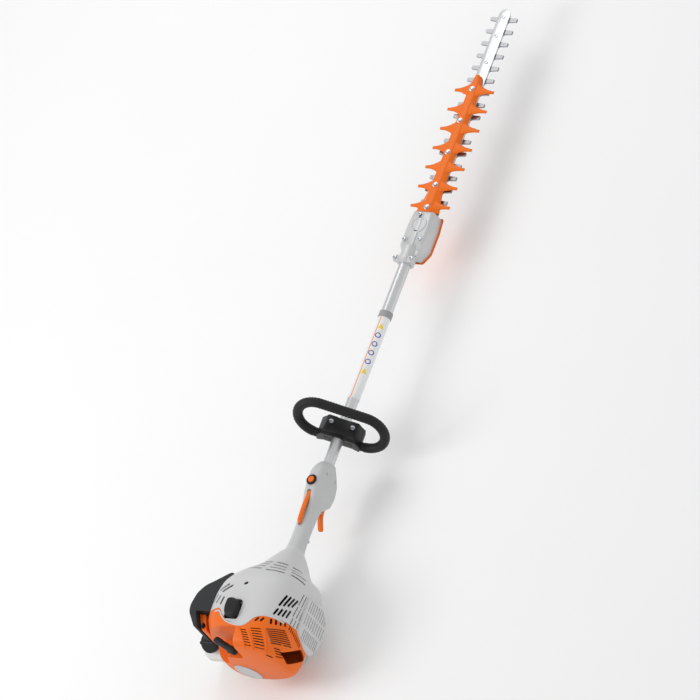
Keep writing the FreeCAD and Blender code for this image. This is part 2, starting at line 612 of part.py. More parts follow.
def build_controls():
    half = "trigger_width / 2"
    trigger = new_body("trigger_body")
    side = sketch_on(trigger, "XZ_Plane", "trigger_side")
    pivot_x = "trigger_x"
    outline(side, ((pivot_x, "trigger_z + 6"), ("trigger_x - 30", "trigger_z + 3"), ("trigger_x - 46", "trigger_z - 6"),
                   ("trigger_x - 59", "trigger_z - 15"), ("trigger_x - 55", "trigger_z - 22"),
                   ("trigger_x - 40", "trigger_z - 12"), ("trigger_x - 26", "trigger_z - 5"),
                   ("trigger_x - 12", "trigger_z - 7"), (pivot_x, "trigger_z - 6")))
    pad(trigger, side, "-trigger_width / 2", half)
    axle = rod("y", "3 - run_gap", -10, 10, "trigger_x", "trigger_z")
    node("throttle_trigger", fuse([trigger, axle]))
    lever = new_body("lockout_body")
    side = sketch_on(lever, "XZ_Plane", "lockout_side")
    outline(side, (("lockout_x + 3", "lockout_top - 9"), ("lockout_x + 4", "lockout_top"),
                   ("lockout_x - 20", "lockout_top + 1.5"), ("lockout_rear + 20", "lockout_top"),
                   ("lockout_rear", "lockout_top - 3"), ("lockout_rear", "lockout_top - lever_thickness")))
    pad(lever, side, "-lockout_width / 2", "lockout_width / 2")
    pin = rod("y", "2.5 - run_gap", -8, 8, "lockout_x", 23)
    node("throttle_lockout", fuse([lever, pin]))
    node("stop_button", fuse([rod("z", "button_radius", "button_z - 6", "button_z + 5", "button_x"),
                              rod("z", 4, 18, "button_z - 6", "button_x")]))
    bezel = cut(fuse([rod("z", "bezel_radius", "button_z", "button_z + 3", "button_x"),
                      rod("z", "bezel_radius - 2", 20, "button_z", "button_x")]),
                [rod("z", "button_radius + run_gap", "button_z - 10", "button_z + 4", "button_x"),
                 rod("z", "4 + run_gap", 19, "button_z", "button_x")])
    node("button_bezel", bezel)


# ---------------------------------------------------------------- loop handle
def loop_placement():
    turn = FreeCAD.Rotation(Vector(1, 0, 0), size("loop_turn"))
    return FreeCAD.Placement(Vector(size("loop_x"), 0, size("axis_height")), turn)


def loop_path(start):
    """Centre line of the loop from one side of its clamp to the other, starting at +start."""
    half = size("loop_half_width")
    low = size("loop_low")
    high = size("loop_high")
    corner = size("loop_corner")
    lean = math.tan(math.radians(size("loop_lean")))
    sine = math.sin(math.radians(45)) * corner

    def spot(y, z):
        return Vector(size("loop_rear") + (z - low) * lean, y, z)

    def bend(side, z_centre, way):
        centre_y = side * (half - corner)
        first = spot(centre_y, z_centre + way * corner)
        middle = spot(centre_y + side * sine, z_centre + way * sine)
        last = spot(side * half, z_centre)
        return first, middle, last

    a1, a2, a3 = bend(1, low + corner, -1)
    b1, b2, b3 = bend(1, high - corner, 1)
    c1, c2, c3 = bend(-1, high - corner, 1)
    d1, d2, d3 = bend(-1, low + corner, -1)
    edges = [Part.LineSegment(spot(start, low), a1), Part.Arc(a1, a2, a3), Part.LineSegment(a3, b3),
             Part.Arc(b3, b2, b1), Part.LineSegment(b1, c1), Part.Arc(c1, c2, c3),
             Part.LineSegment(c3, d3), Part.Arc(d3, d2, d1), Part.LineSegment(d1, spot(-start, low))]
    return Part.Wire([edge.toShape() for edge in edges])


def swept(radius, start):
    path = loop_path(start)
    end = path.Edges[0].valueAt(path.Edges[0].FirstParameter)
    disc = Part.Wire([Part.Circle(end, Vector(0, 1, 0), radius).toShape()])
    return path.makePipeShell([disc], True, True)


def build_loop():
    """Loop grip on its steel rod, held by an arched bracket with a cap under the tube."""
    rod_radius = size("rod_diameter") / 2
    grip_start = size("clamp_half_width") + size("free_gap")
    rod_start = size("clamp_half_width") - 11
    outer = swept(size("grip_diameter") / 2, grip_start)
    node("loop_grip", feature(outer.cut(swept(rod_radius, grip_start))), loop_placement())
    node("loop_frame", feature(swept(rod_radius, rod_start)), loop_placement())
    arch = new_body("bracket_body")
    side = sketch_on(arch, "YZ_Plane", "bracket_side")
    half = "clamp_half_width"
    outline(side, (("-" + half, "loop_low - 11"), ("-" + half, "loop_low + 11"), ("-" + half + " + 10", 12),
                   ("-" + half + " + 14", "clamp_top"), (half + " - 14", "clamp_top"), (half + " - 10", 12),
                   (half, "loop_low + 11"), (half, "loop_low - 11")))
    pad(arch, side, "clamp_rear", "clamp_front")
    bore = "tube_diameter / 2 + pad_wall"
    gap = "free_gap"
    tools = [rod("x", bore, "clamp_rear - 1", "clamp_front + 1"),
             box("clamp_rear - 1", "clamp_front + 1", "-cap_half_width - free_gap", "cap_half_width + free_gap",
                 "loop_low - 12", gap)]
    for side_way in (-1, 1):
        ends = sorted((side_way * rod_start, side_way * (size("clamp_half_width") + 1)))
        tools.append(rod("y", rod_radius, ends[0], ends[1], "loop_rear", "loop_low"))
    cap = cut(box("clamp_rear", "clamp_front", "-cap_half_width", "cap_half_width", "-bolt_offset + 2", "-free_gap"),
              [rod("x", bore, "clamp_rear - 1", "clamp_front + 1")])
    shanks = []
    bolts = []
    for side_way in (-1, 1):
        y = "%d * bolt_offset" % side_way
        shanks.append(rod("z", "bolt_diameter / 2", "-bolt_offset + 1", "clamp_top + 1", 0, y))
        bolts.append(rod("z", "bolt_diameter / 2", "-bolt_offset + 2", "clamp_top", 0, y))
        bolts.append(rod("z", "bolt_diameter * 0.8", "clamp_top", "clamp_top + 5", 0, y))
    node("handle_clamp", cut(fuse([cut(arch, tools), cap]), shanks), loop_placement())
    node("loop_bolts", fuse(bolts), loop_placement())
    pad_ring = cut(rod("x", bore, "clamp_rear", "clamp_front"),
                   [rod("x", "tube_diameter / 2 + run_gap", "clamp_rear - 1", "clamp_front + 1")])
    node("clamp_pad", pad_ring, loop_placement())


# ---------------------------------------------------------------- gearbox
def gear_plan(grow):
    """Plan of the gear case, grown outward by a formula."""
    front = "gear_end"
    wide = "gear_half_width + (%s)" % grow
    return (("gear_start + 22", "-17 - (%s)" % grow), ("gear_start + 44", "-(%s)" % wide), ("gear_start + 96", "-(%s)" % wide),
            (front, "-26 - (%s)" % grow), (front, "26 + (%s)" % grow), ("gear_start + 96", wide), ("gear_start + 44", wide),
            ("gear_start + 22", "17 + (%s)" % grow))


def build_gearbox():
    case = new_body("gear_case_body")
    plan = sketch_on(case, "XY_Plane", "case_plan")
    outline(plan, gear_plan(0))
    pad(case, plan, "gear_bottom", "gear_top")
    inner_plan = sketch_on(case, "XY_Plane", "case_room")
    outline(inner_plan, gear_plan("-gear_wall"))
    pocket(case, inner_plan, "gear_bottom", "gear_top - gear_wall")
    socket = cut(fuse([rod("x", 18, "gear_start", "gear_start + 40"),
                       box("gear_start", "gear_start + 16", -26, 26, 2, 15)]),
                 [rod("x", "tube_diameter / 2", "gear_start - 1", "gear_start + 41")])
    ears = socket
    bolt_holes = [rod("z", 2.5, -1, 16, "gear_start + 8", y) for y in (-21, 21)]
    slot = box("gear_end - 4", "gear_end + 1", -25, 25, "bar_top - 9", "bar_top + 0.2")
    tunnel = rod("x", "tube_diameter / 2", "gear_start - 1", "tube_end + 0.5")
    spine_radius = "pinion_radius + gear_wall + free_gap"
    spine = common(rod("x", spine_radius, "gear_start + 36", "gear_start + 84"),
                   box("gear_start + 30", "gear_start + 90", -20, 20, "gear_top - gear_wall", "gear_top + 20"))
    pinion_room = rod("x", "pinion_radius + free_gap", "gear_start + 40", "gear_start + 79")
    case_cut = cut(fuse([case, ears, spine]), [tunnel, slot, pinion_room] + bolt_holes)
    node("gearbox_housing", case_cut)
    base = new_body("gear_base_body")
    base_plan = sketch_on(base, "XY_Plane", "base_plan")
    outline(base_plan, gear_plan("-gear_wall - 0.2"))
    pad(base, base_plan, "gear_bottom", "gear_bottom + 3")
    node("gearbox_base", base)
    wear = new_body("wear_plate_body")
    wear_plan = sketch_on(wear, "XY_Plane", "wear_plan")
    outline(wear_plan, gear_plan(2))
    pad(wear, wear_plan, "gear_bottom - wear_plate", "gear_bottom")
    node("wear_plate", wear)
    heads = []
    for x, y in ((1010, 5), (950, -22), (950, 18)):
        heads.append(rod("z", 4, "gear_top", "gear_top + 3", x, y))
    for y in (-21, 21):
        heads.append(rod("z", 4.2, 15, 19, "gear_start + 8", y))
        heads.append(rod("z", 2.5, 3, 15, "gear_start + 8", y))
    node("gearbox_screws", fuse(heads))
    node("grease_plug", rod("z", 6, "gear_top", "gear_top + 2", "gear_x", 0))


def build_gears():
    """Pinion on the drive shaft and the crank gear with its two cams."""
    pinion = cut(rod("x", "pinion_radius", 936, 966), [rod("x", "shaft_diameter / 2", 935, 950)])
    node("drive_pinion", pinion)
    top = "-pinion_radius - free_gap"
    disc = rod("z", "gear_radius", "bar_top - 1", top, "gear_x")
    post = rod("z", 5, "gear_bottom + 4", top, "gear_x")
    upper = rod("z", "cam_radius", "bar_top - bar_thickness - blade_thickness", "bar_top - 1", "gear_x", "stroke / 2")
    lower = rod("z", "cam_radius", "bar_top - bar_thickness - blade_thickness * 2 - 0.2",
                "bar_top - bar_thickness - blade_thickness", "gear_x", "-stroke / 2")
    node("crank_gear", fuse([disc, post, upper, lower]))


# ---------------------------------------------------------------- cutter
def blade_outline(reach, shift):
    """Toothed outline of one blade; shift moves its teeth along X."""
    pitch = size("tooth_pitch")
    count = int(size("tooth_count"))
    half = size("blade_body") / 2
    first = size("tooth_last") - pitch * (count - 1) + shift
    upper = []
    for index in range(count):
        x = first + index * pitch
        upper += [(x - 11, half), (x - 6, half + 4), (x - 4.5, reach), (x + 3.5, reach), (x + 4.5, half + 4), (x + 7, half)]
    tip = size("blade_tip")
    corners = [(size("gear_end") + 6, half)] + upper + [(tip - 4, half), (tip, half - 5)]
    lower = [(x, -y) for x, y in reversed(corners)]
    return corners + lower


def build_blade(name, top):
    """Reciprocating blade: teeth both sides, bolt slots, and a yoke round its cam."""
    thick = size("blade_thickness")
    level = size("bar_top") - size("bar_thickness") - top
    face = Part.Face(Part.makePolygon([Vector(x, y, 0) for x, y in close(blade_outline(size("tooth_reach"), 0))]))
    plate = face.extrude(Vector(0, 0, thick))
    gear_x = size("gear_x")
    frame = slab(gear_x - 31, size("gear_end") + 8, -22.5, 22.5, 0, thick)
    window = slab(gear_x - 26, gear_x + 26, -18.5, 18.5, -1, thick + 1)
    plate = plate.fuse(frame).cut(window)
    for x in BLADE_BOLTS:
        reach = size("stroke") / 2 + 0.5
        plate = plate.cut(slab(x - reach, x + reach, -3.3, 3.3, -1, thick + 1))
        for end in (-1, 1):
            plate = plate.cut(barrel("z", 3.3, -1, thick + 1, x + end * reach))
    placed = feature(plate.removeSplitter())
    node(name, placed, FreeCAD.Placement(Vector(0, 0, size("axis_height") + level - thick), FreeCAD.Rotation()))


def close(points):
    return list(points) + [points[0]]


def build_cutter():
    gap = size("blade_gap")
    build_blade("upper_blade", gap)
    build_blade("lower_blade", 2 * gap + size("blade_thickness"))
    bar = new_body("guide_bar_body")
    plan = sketch_on(bar, "XY_Plane", "bar_plan")
    half = "bar_width / 2"
    outline(plan, (("gear_end - 2", "-" + half), ("blade_tip", "-" + half), ("blade_tip + 8", -8),
                   ("blade_tip + 8", 8), ("blade_tip", half), ("gear_end - 2", half)))
    for x in BLADE_BOLTS:
        ring(plan, "bolt_diameter / 2", x, 0)
    pad(bar, plan, "bar_top - bar_thickness", "bar_top")
    node("guide_bar", bar)
    build_guard()
    shanks = []
    low = "bar_top - bar_thickness - blade_thickness * 2 - blade_gap * 3"
    for index, x in enumerate(BLADE_BOLTS):
        top = "guard_top" if index < GUARDED_BOLTS else "bar_top"
        shanks.append(rod("z", "bolt_diameter / 2", low + " - 6", top, x, 0))
        shanks.append(rod("z", 5, top, top + " + 3.5", x, 0))
        shanks.append(rod("z", 5, low + " - 5", low, x, 0))
    node("blade_bolts", fuse(shanks))


def build_guard():
    """Tooth guard: a channel over the bar with bosses and a row of fins each side."""
    guard = new_body("guard_body")
    plan = sketch_on(guard, "XY_Plane", "guard_plan")
    edge = ((1022, 30), (1050, 24), (1088, 18), (1160, 15.5), (1325, 15.5), (1348, 10), (1359, 6))
    corners = [(x, y) for x, y in edge] + [(x, -y) for x, y in reversed(edge)]
    outline(plan, corners)
    pad(guard, plan, "guard_top - guard_plate", "guard_top")
    pieces = [guard]
    for index in range(int(size("guard_fin_count"))):
        x = "guard_fin_first + %d * guard_fin_pitch" % index
        for side in (-1, 1):
            fin = new_body("fin_body")
            side_sketch = sketch_on(fin, "YZ_Plane", "fin_side")
            reach = "%d * guard_fin_reach" % side
            inner = "%d * 8" % side
            outline(side_sketch, ((inner, "guard_top - guard_plate - 1"), (reach, "bar_top + 1"), (reach, "bar_top + 7"),
                                  (inner, "guard_top")))
            pad(fin, side_sketch, x + " - 3.5", x + " + 3.5")
            pieces.append(fin)
    for index in range(GUARDED_BOLTS):
        pieces.append(rod("z", 7, "bar_top", "guard_top", BLADE_BOLTS[index], 0))
    holes = [rod("z", "bolt_diameter / 2", "bar_top - 1", "guard_top + 1", x, 0) for x in BLADE_BOLTS[:GUARDED_BOLTS]]
    node("tooth_guard", cut(fuse(pieces), holes))


def build_screws():
    """Screws of the shroud and of the control handle."""
    heads = []
    for x, z in HANDLE_SCREWS:
        heads.append(rod("y", 3.2, -21, -12, x, z))
    node("handle_screws", fuse(heads))


build_cowl()
build_badge()
build_crankcase()
build_cylinder()
build_piston()
build_spark_plug()
build_plug_boot()
build_crankshaft()
build_flywheel()
build_starter()
build_clutch()
build_clutch_case()
build_muffler()
build_carburetor()
build_intake()
build_tank()
build_cap()
build_primer()
build_shaft()
build_handle()
build_controls()
build_loop()
build_gearbox()
build_gears()
build_cutter()
build_screws()
sheet.clear("D1")
doc.recompute()

failed = [item for item in doc.Objects if "Invalid" in item.State or "Error" in item.State]
if failed:
    raise RuntimeError("failed to compute: " + ", ".join(item.Label for item in failed))
for built in NODES:
    if built.Shape.isNull() or not built.Shape.isValid():
        raise RuntimeError("%s has no valid shape" % built.Label)

os.makedirs("parts", exist_ok=True)
for built in NODES:
    built.Shape.exportStep("parts/%s.step" % built.Label)
    print("%-22s solids %d volume %10.1f" % (built.Label, len(built.Shape.Solids), built.Shape.Volume))
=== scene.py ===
"""Looks of a long-reach petrol hedge trimmer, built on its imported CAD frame.

Shapes are worked out in millimetres, with heights from the shaft axis, and
spot() brings them into the frame: metres, +X to the blade tip, +Z up.
"""
import json
import math
import bpy
import bmesh
from mathutils import Matrix, Vector


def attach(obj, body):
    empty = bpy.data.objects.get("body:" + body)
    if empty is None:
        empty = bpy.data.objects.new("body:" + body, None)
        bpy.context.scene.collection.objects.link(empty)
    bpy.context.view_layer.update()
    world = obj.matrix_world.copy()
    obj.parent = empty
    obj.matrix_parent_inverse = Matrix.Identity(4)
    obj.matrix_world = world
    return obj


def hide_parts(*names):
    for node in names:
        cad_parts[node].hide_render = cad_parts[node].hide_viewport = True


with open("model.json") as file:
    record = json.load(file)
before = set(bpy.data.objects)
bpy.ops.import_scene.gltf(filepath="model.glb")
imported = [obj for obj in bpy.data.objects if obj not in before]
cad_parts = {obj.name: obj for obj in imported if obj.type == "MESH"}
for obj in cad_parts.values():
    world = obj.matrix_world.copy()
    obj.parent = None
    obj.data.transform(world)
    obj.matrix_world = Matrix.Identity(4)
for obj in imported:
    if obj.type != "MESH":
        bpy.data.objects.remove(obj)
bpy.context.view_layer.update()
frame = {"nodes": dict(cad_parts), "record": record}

AXIS_HEIGHT = 108.0
MM = 0.001
AHEAD, LEFT, UP = (1, 0, 0), (0, 1, 0), (0, 0, 1)


def spot(x, y, z):
    """Point of the frame from millimetres, with z above the shaft axis."""
    return Vector((x * MM, y * MM, (z + AXIS_HEIGHT) * MM))


# ------------------------------------------------------------------ shader kit
class Signal:
    """A shader socket that takes part in Python arithmetic."""

    def __init__(self, finish, socket):
        self.finish = finish
        self.socket = socket

    def maths(self, operation, *values):
        return self.finish.add("ShaderNodeMath", {"operation": operation}, dict(enumerate(values)))

    def __add__(self, other):
        return self.maths("ADD", self, other)

    def __sub__(self, other):
        return self.maths("SUBTRACT", self, other)

    def __rsub__(self, other):
        return self.maths("SUBTRACT", other, self)

    def __mul__(self, other):
        return self.maths("MULTIPLY", self, other)

    def __pow__(self, other):
        return self.maths("POWER", self, other)

    __radd__ = __add__
    __rmul__ = __mul__

    def below(self, limit, soft=0.0003):
        """1 where the value is under the limit, with a soft edge."""
        return self.finish.add("ShaderNodeMapRange", {}, {
            "Value": self, "From Min": limit - soft, "From Max": limit + soft, "To Min": 1.0, "To Max": 0.0})


class Finish:
    """One procedural material under construction."""

    def __init__(self, name):
        self.material = bpy.data.materials.new(name)
        self.material.use_nodes = True
        self.tree = self.material.node_tree
        self.shader = self.tree.nodes["Principled BSDF"]

    def add(self, kind, settings=None, inputs=None, output=0):
        """Any node: settings first, then values or links of its sockets."""
        made = self.tree.nodes.new(kind)
        for key, value in (settings or {}).items():
            setattr(made, key, value)
        for key, value in (inputs or {}).items():
            self.feed(made.inputs[key], value)
        return Signal(self, made.outputs[output])

    def feed(self, socket, value):
        """Link a signal to a socket, or set a plain value on it."""
        if isinstance(value, Signal):
            self.tree.links.new(value.socket, socket)
        else:
            socket.default_value = value

    def set(self, **values):
        """Sockets of the shader, with underscores for the spaces in their names."""
        for key, value in values.items():
            self.feed(self.shader.inputs[key.replace("_", " ")], value)

    def place(self, stretch=(1, 1, 1)):
        """Object coordinates, stretched along an axis for a grain."""
        where = self.add("ShaderNodeTexCoord", output="Object")
        return self.add("ShaderNodeMapping", {}, {"Vector": where, "Scale": stretch})

    def noise(self, scale, detail=3.0, stretch=(1, 1, 1), rough=0.5):
        return self.add("ShaderNodeTexNoise", {}, {
            "Vector": self.place(stretch), "Scale": scale, "Detail": detail, "Roughness": rough})

    def mix(self, mask, first, second):
        """Colour between two colours, by a mask."""
        made = self.tree.nodes.new("ShaderNodeMix")
        made.data_type = "RGBA"
        for index, value in ((0, mask), (6, first), (7, second)):
            self.feed(made.inputs[index], (*value, 1.0) if isinstance(value, tuple) else value)
        return Signal(self, made.outputs[2])

    def bump(self, height, strength, distance):
        return self.add("ShaderNodeBump", {}, {"Height": height, "Strength": strength, "Distance": distance})

    def axes(self):
        """Object coordinates as three signals."""
        where = self.add("ShaderNodeTexCoord", output="Object")
        parts = self.add("ShaderNodeSeparateXYZ", {}, {"Vector": where})
        node = parts.socket.node
        return [Signal(self, node.outputs[index]) for index in range(3)]


def moulded_plastic(name, shade, rough, grain=0.12, scuff=0.10, gloss=0.4):
    """Injection moulded plastic: spark-eroded grain, faint mottling and rubbed patches."""
    finish = Finish(name)
    mottle = finish.noise(9.0, 4.0)
    dust = finish.noise(60.0, 5.0, rough=0.65)
    rubbed = finish.add("ShaderNodeMapRange", {}, {
        "Value": dust, "From Min": 0.60, "From Max": 0.72, "To Min": 0.0, "To Max": 1.0})
    dark = tuple(channel * 0.93 for channel in shade)
    light = tuple(min(1.0, channel * 1.05 + 0.006) for channel in shade)
    worn = tuple(min(1.0, channel * 0.9 + 0.06) for channel in shade)
    base = finish.mix(mottle, dark, light)
    colour = finish.mix(rubbed * scuff, base, worn)
    erosion = finish.noise(1400.0, 2.0)
    relief = finish.bump(erosion, grain, 0.0004)
    roughness = mottle * 0.10 + rubbed * 0.08 + (rough - 0.06)
    finish.set(Base_Color=colour, Roughness=roughness, Normal=relief, Specular_IOR_Level=gloss)
    return finish.material


def rubber(name, shade, knurl=True):
    """Soft black rubber with a fine dimple pattern and dusty high spots."""
    finish = Finish(name)
    dimples = finish.add("ShaderNodeTexVoronoi", {"feature": "F1"}, {"Vector": finish.place(), "Scale": 420.0})
    dust = finish.noise(45.0, 5.0, rough=0.7)
    grey = tuple(channel + 0.008 for channel in shade)
    height = dimples if knurl else finish.noise(700.0, 3.0)
    finish.set(Base_Color=finish.mix(dust, shade, grey), Roughness=dust * 0.2 + 0.42,
               Normal=finish.bump(height, 0.22 if knurl else 0.15, 0.0006), Specular_IOR_Level=0.3)
    return finish.material


def brushed(name, shade, rough, stretch, metal=1.0, depth=0.12):
    """Metal with a drawn or ground grain along one axis, and faint handling marks."""
    finish = Finish(name)
    lines = finish.noise(60.0, 4.0, stretch)
    marks = finish.noise(18.0, 5.0, rough=0.65)
    dark = tuple(channel * 0.82 for channel in shade)
    roughness = lines * 0.16 + marks * 0.12 + (rough - 0.13)
    finish.set(Base_Color=finish.mix(lines * 0.6 + marks * 0.4, dark, shade), Roughness=roughness,
               Metallic=metal, Normal=finish.bump(lines, depth, 0.0003))
    return finish.material


def cast_alloy(name, shade, rough, metal=0.6):
    """Sand-grained casting with darker hollows."""
    finish = Finish(name)
    sand = finish.noise(800.0, 3.0)
    cloud = finish.noise(25.0, 5.0)
    dark = tuple(channel * 0.8 for channel in shade)
    finish.set(Base_Color=finish.mix(cloud, dark, shade), Roughness=cloud * 0.16 + (rough - 0.08),
               Metallic=metal, Normal=finish.bump(sand, 0.25, 0.0004))
    return finish.material


def tank_plastic():
    """Milky polyethylene: paler above the fuel, warmer below it, with a soft waxy surface."""
    finish = Finish("tank_plastic")
    height = finish.axes()[2]
    ripple = finish.noise(30.0, 3.0)
    level = (height + ripple * 0.002).below(0.052, 0.002)
    milk = finish.mix(ripple, (0.74, 0.74, 0.72), (0.80, 0.80, 0.785))
    fuel = finish.mix(level, milk, (0.66, 0.655, 0.61))
    finish.set(Base_Color=fuel, Roughness=ripple * 0.12 + 0.33,
               Normal=finish.bump(finish.noise(300.0, 3.0), 0.1, 0.0006))
    return finish.material


def label_film():
    """White film with one orange line along it and a row of plain rings and triangles."""
    finish = Finish("label_film")
    x, y, z = finish.axes()
    rise = z - AXIS_HEIGHT * MM
    across = (y * -0.93) + (rise * -0.36)
    seen = 1.0 - ((y * -0.36) + (rise * 0.93)).below(0.0, 0.0002)
    line = across.maths("ABSOLUTE", across + 0.0045).below(0.0011, 0.0002)
    worn = finish.noise(150.0, 5.0)
    white = finish.mix(worn, (0.80, 0.81, 0.82), (0.88, 0.885, 0.89))
    colour = finish.mix(line * seen, white, (0.86, 0.27, 0.03))
    for index in range(4):
        centre = 0.650 + index * 0.0215
        reach = radius_from(across, 0.0032, x, centre)
        ring = reach.below(0.0062, 0.0003) * (1.0 - reach.below(0.0041, 0.0003))
        colour = finish.mix(ring * seen, colour, (0.03, 0.06, 0.38))
    for centre in (0.628, 0.7375):
        way = x - (centre - 0.007)
        half = (0.013 - way) * 0.5
        inside = (across.maths("ABSOLUTE", across - 0.0032) - half).below(0.0, 0.0003)
        span = (1.0 - way.below(0.0, 0.0002)) * way.below(0.013, 0.0002)
        colour = finish.mix(inside * span * seen, colour, (0.90, 0.66, 0.05))
    finish.set(Base_Color=colour, Roughness=worn * 0.15 + 0.25, Coat_Weight=0.3,
               Normal=finish.bump(worn, 0.05, 0.0003))
    return finish.material


def radius_from(u, u_centre, v, v_centre):
    """Distance from a centre in two signals."""
    du = u - u_centre
    dv = v - v_centre
    return (du * du + dv * dv) ** 0.5


def braided(name, shade):
    """Cord with a crossed braid."""
    finish = Finish(name)
    waves = finish.add("ShaderNodeTexWave", {"wave_type": "BANDS", "bands_direction": "DIAGONAL"},
                       {"Vector": finish.place(), "Scale": 260.0, "Distortion": 1.5})
    pale = tuple(channel * 1.8 for channel in shade)
    finish.set(Base_Color=finish.mix(waves, shade, pale), Roughness=waves * 0.1 + 0.75,
               Normal=finish.bump(waves, 0.5, 0.0006))
    return finish.material


def floor_paper():
    """Matt white backdrop paper."""
    finish = Finish("floor_paper")
    tone = finish.noise(3.0, 2.0)
    finish.set(Base_Color=finish.mix(tone, (0.93, 0.93, 0.93), (0.95, 0.95, 0.95)),
               Roughness=tone * 0.05 + 0.85)
    return finish.material


LOOK = {
    "shroud_grey": moulded_plastic("shroud_plastic", (0.61, 0.61, 0.615), 0.45, grain=0.14),
    "housing_orange": moulded_plastic("orange_plastic", (0.86, 0.150, 0.003), 0.40, grain=0.10, gloss=0.3),
    "control_orange": moulded_plastic("orange_control", (0.88, 0.165, 0.004), 0.38, grain=0.08, gloss=0.3),
    "cover_dark": moulded_plastic("cover_plastic", (0.026, 0.027, 0.029), 0.5, 0.2, 0.03, 0.25),
    "handle_grey": moulded_plastic("handle_plastic", (0.56, 0.565, 0.57), 0.48, grain=0.16),
    "black_plastic": moulded_plastic("black_plastic", (0.006, 0.006, 0.007), 0.42, 0.2, 0.02, 0.3),
    "black_rubber": rubber("black_rubber", (0.006, 0.006, 0.007)),
    "badge_silver": brushed("badge_silver", (0.62, 0.64, 0.66), 0.35, (1, 1, 14), metal=0.8),
    "cast_alloy": cast_alloy("cast_alloy", (0.42, 0.43, 0.44), 0.5),
    "machined_alloy": brushed("machined_alloy", (0.6, 0.61, 0.62), 0.3, (1, 1, 12)),
    "steel": brushed("turned_steel", (0.36, 0.36, 0.37), 0.36, (14, 1, 1)),
    "rope": braided("rope_braid", (0.02, 0.02, 0.022)),
    "muffler_steel": cast_alloy("muffler_steel", (0.20, 0.18, 0.16), 0.55, metal=0.9),
    "filter_paper": braided("filter_paper", (0.42, 0.38, 0.26)),
    "tank_white": tank_plastic(),
    "bulb_clear": rubber("primer_rubber", (0.3, 0.3, 0.28), knurl=False),
    "tube_alloy": brushed("tube_alloy", (0.74, 0.75, 0.76), 0.30, (0.25, 8, 8), metal=0.9, depth=0.05),
    "label_white": label_film(),
    "collar_grey": moulded_plastic("collar_plastic", (0.33, 0.335, 0.34), 0.45),
    "bright_steel": brushed("zinc_steel", (0.66, 0.69, 0.74), 0.25, (1, 1, 6), depth=0.06),
    "gearbox_grey": cast_alloy("gearbox_paint", (0.66, 0.665, 0.67), 0.38, metal=0.25),
    "blade_steel": brushed("ground_blade", (0.34, 0.345, 0.36), 0.3, (1, 10, 1)),
    "bar_steel": brushed("satin_bar", (0.74, 0.75, 0.76), 0.32, (0.4, 12, 1), metal=0.85),
}


# ------------------------------------------------------------------ mesh kit
def new_object(name, mesh):
    made = bpy.data.objects.new(name, mesh)
    bpy.context.scene.collection.objects.link(made)
    return made


def from_bmesh(name, bm):
    mesh = bpy.data.meshes.new(name)
    bm.to_mesh(mesh)
    bm.free()
    return new_object(name, mesh)


def outward(obj):
    """Merge doubles and point all faces outwards."""
    bm = bmesh.new()
    bm.from_mesh(obj.data)
    bmesh.ops.remove_doubles(bm, verts=bm.verts, dist=1e-6)
    bmesh.ops.recalc_face_normals(bm, faces=bm.faces)
    bm.to_mesh(obj.data)
    bm.free()
    return obj


def bake(obj):
    """Turn the object's modifiers into its plain mesh."""
    bpy.context.view_layer.update()
    graph = bpy.context.evaluated_depsgraph_get()
    mesh = bpy.data.meshes.new_from_object(obj.evaluated_get(graph))
    old = obj.data
    obj.modifiers.clear()
    obj.data = mesh
    bpy.data.meshes.remove(old)
    return obj


def rounded(obj, width, segments=2, angle=35.0):
    """Round the sharp edges; width in millimetres."""
    modifier = obj.modifiers.new("round", "BEVEL")
    modifier.width = width * MM
    modifier.segments = segments
    modifier.limit_method = "ANGLE"
    modifier.angle_limit = math.radians(angle)
    modifier.use_clamp_overlap = True
    return bake(obj)


def carve(obj, cutter, operation="DIFFERENCE"):
    """Boolean with a helper, which is then removed."""
    modifier = obj.modifiers.new("carve", "BOOLEAN")
    outward(cutter)
    modifier.object = cutter
    modifier.operation = operation
    modifier.solver = "EXACT"
    bake(obj)
    bpy.data.objects.remove(cutter)
    return obj


def joined(name, pieces):
    """One object from several, which are removed."""
    bm = bmesh.new()
    for piece in pieces:
        bm.from_mesh(piece.data)
        bpy.data.objects.remove(piece)
    return from_bmesh(name, bm)


def loft(name, rings):
    """Closed skin through rings of points, with capped ends."""
    bm = bmesh.new()
    rows = [[bm.verts.new(point) for point in ring] for ring in rings]
    count = len(rows[0])
    for first, second in zip(rows, rows[1:]):
        for index in range(count):
            after = (index + 1) % count
            bm.faces.new((first[index], first[after], second[after], second[index]))
    bm.faces.new(list(reversed(rows[0])))
    bm.faces.new(rows[-1])
    bmesh.ops.recalc_face_normals(bm, faces=bm.faces)
    return from_bmesh(name, bm)


def prism(name, outline, low, high, plane="xy"):
    """Straight solid over an outline in millimetres; plane names its two axes."""
    orders = {"xy": lambda u, v, w: spot(u, v, w), "xz": lambda u, v, w: spot(u, w, v),
              "yz": lambda u, v, w: spot(w, u, v)}
    place = orders[plane]
    return loft(name, [[place(u, v, low) for u, v in outline], [place(u, v, high) for u, v in outline]])


def block(name, x0, x1, y0, y1, z0, z1):
    return prism(name, ((x0, y0), (x1, y0), (x1, y1), (x0, y1)), z0, z1)


def circle(count):
    """Cosine and sine at equal steps round a full turn."""
    return [(math.cos(2 * math.pi * k / count), math.sin(2 * math.pi * k / count)) for k in range(count)]


def squared(value, power):
    """Signed power, which squares off a round section."""
    return math.copysign(abs(value) ** power, value)


def turned(name, profile, centre, direction=UP, steps=48):
    """Solid of revolution: profile of (radius, height) about a line from centre."""
    turn = Vector(UP).rotation_difference(Vector(direction).normalized()).to_matrix()
    return loft(name, [[spot(*centre) + turn @ (Vector((radius * c, radius * s, height)) * MM)
                        for c, s in circle(steps)] for radius, height in profile])


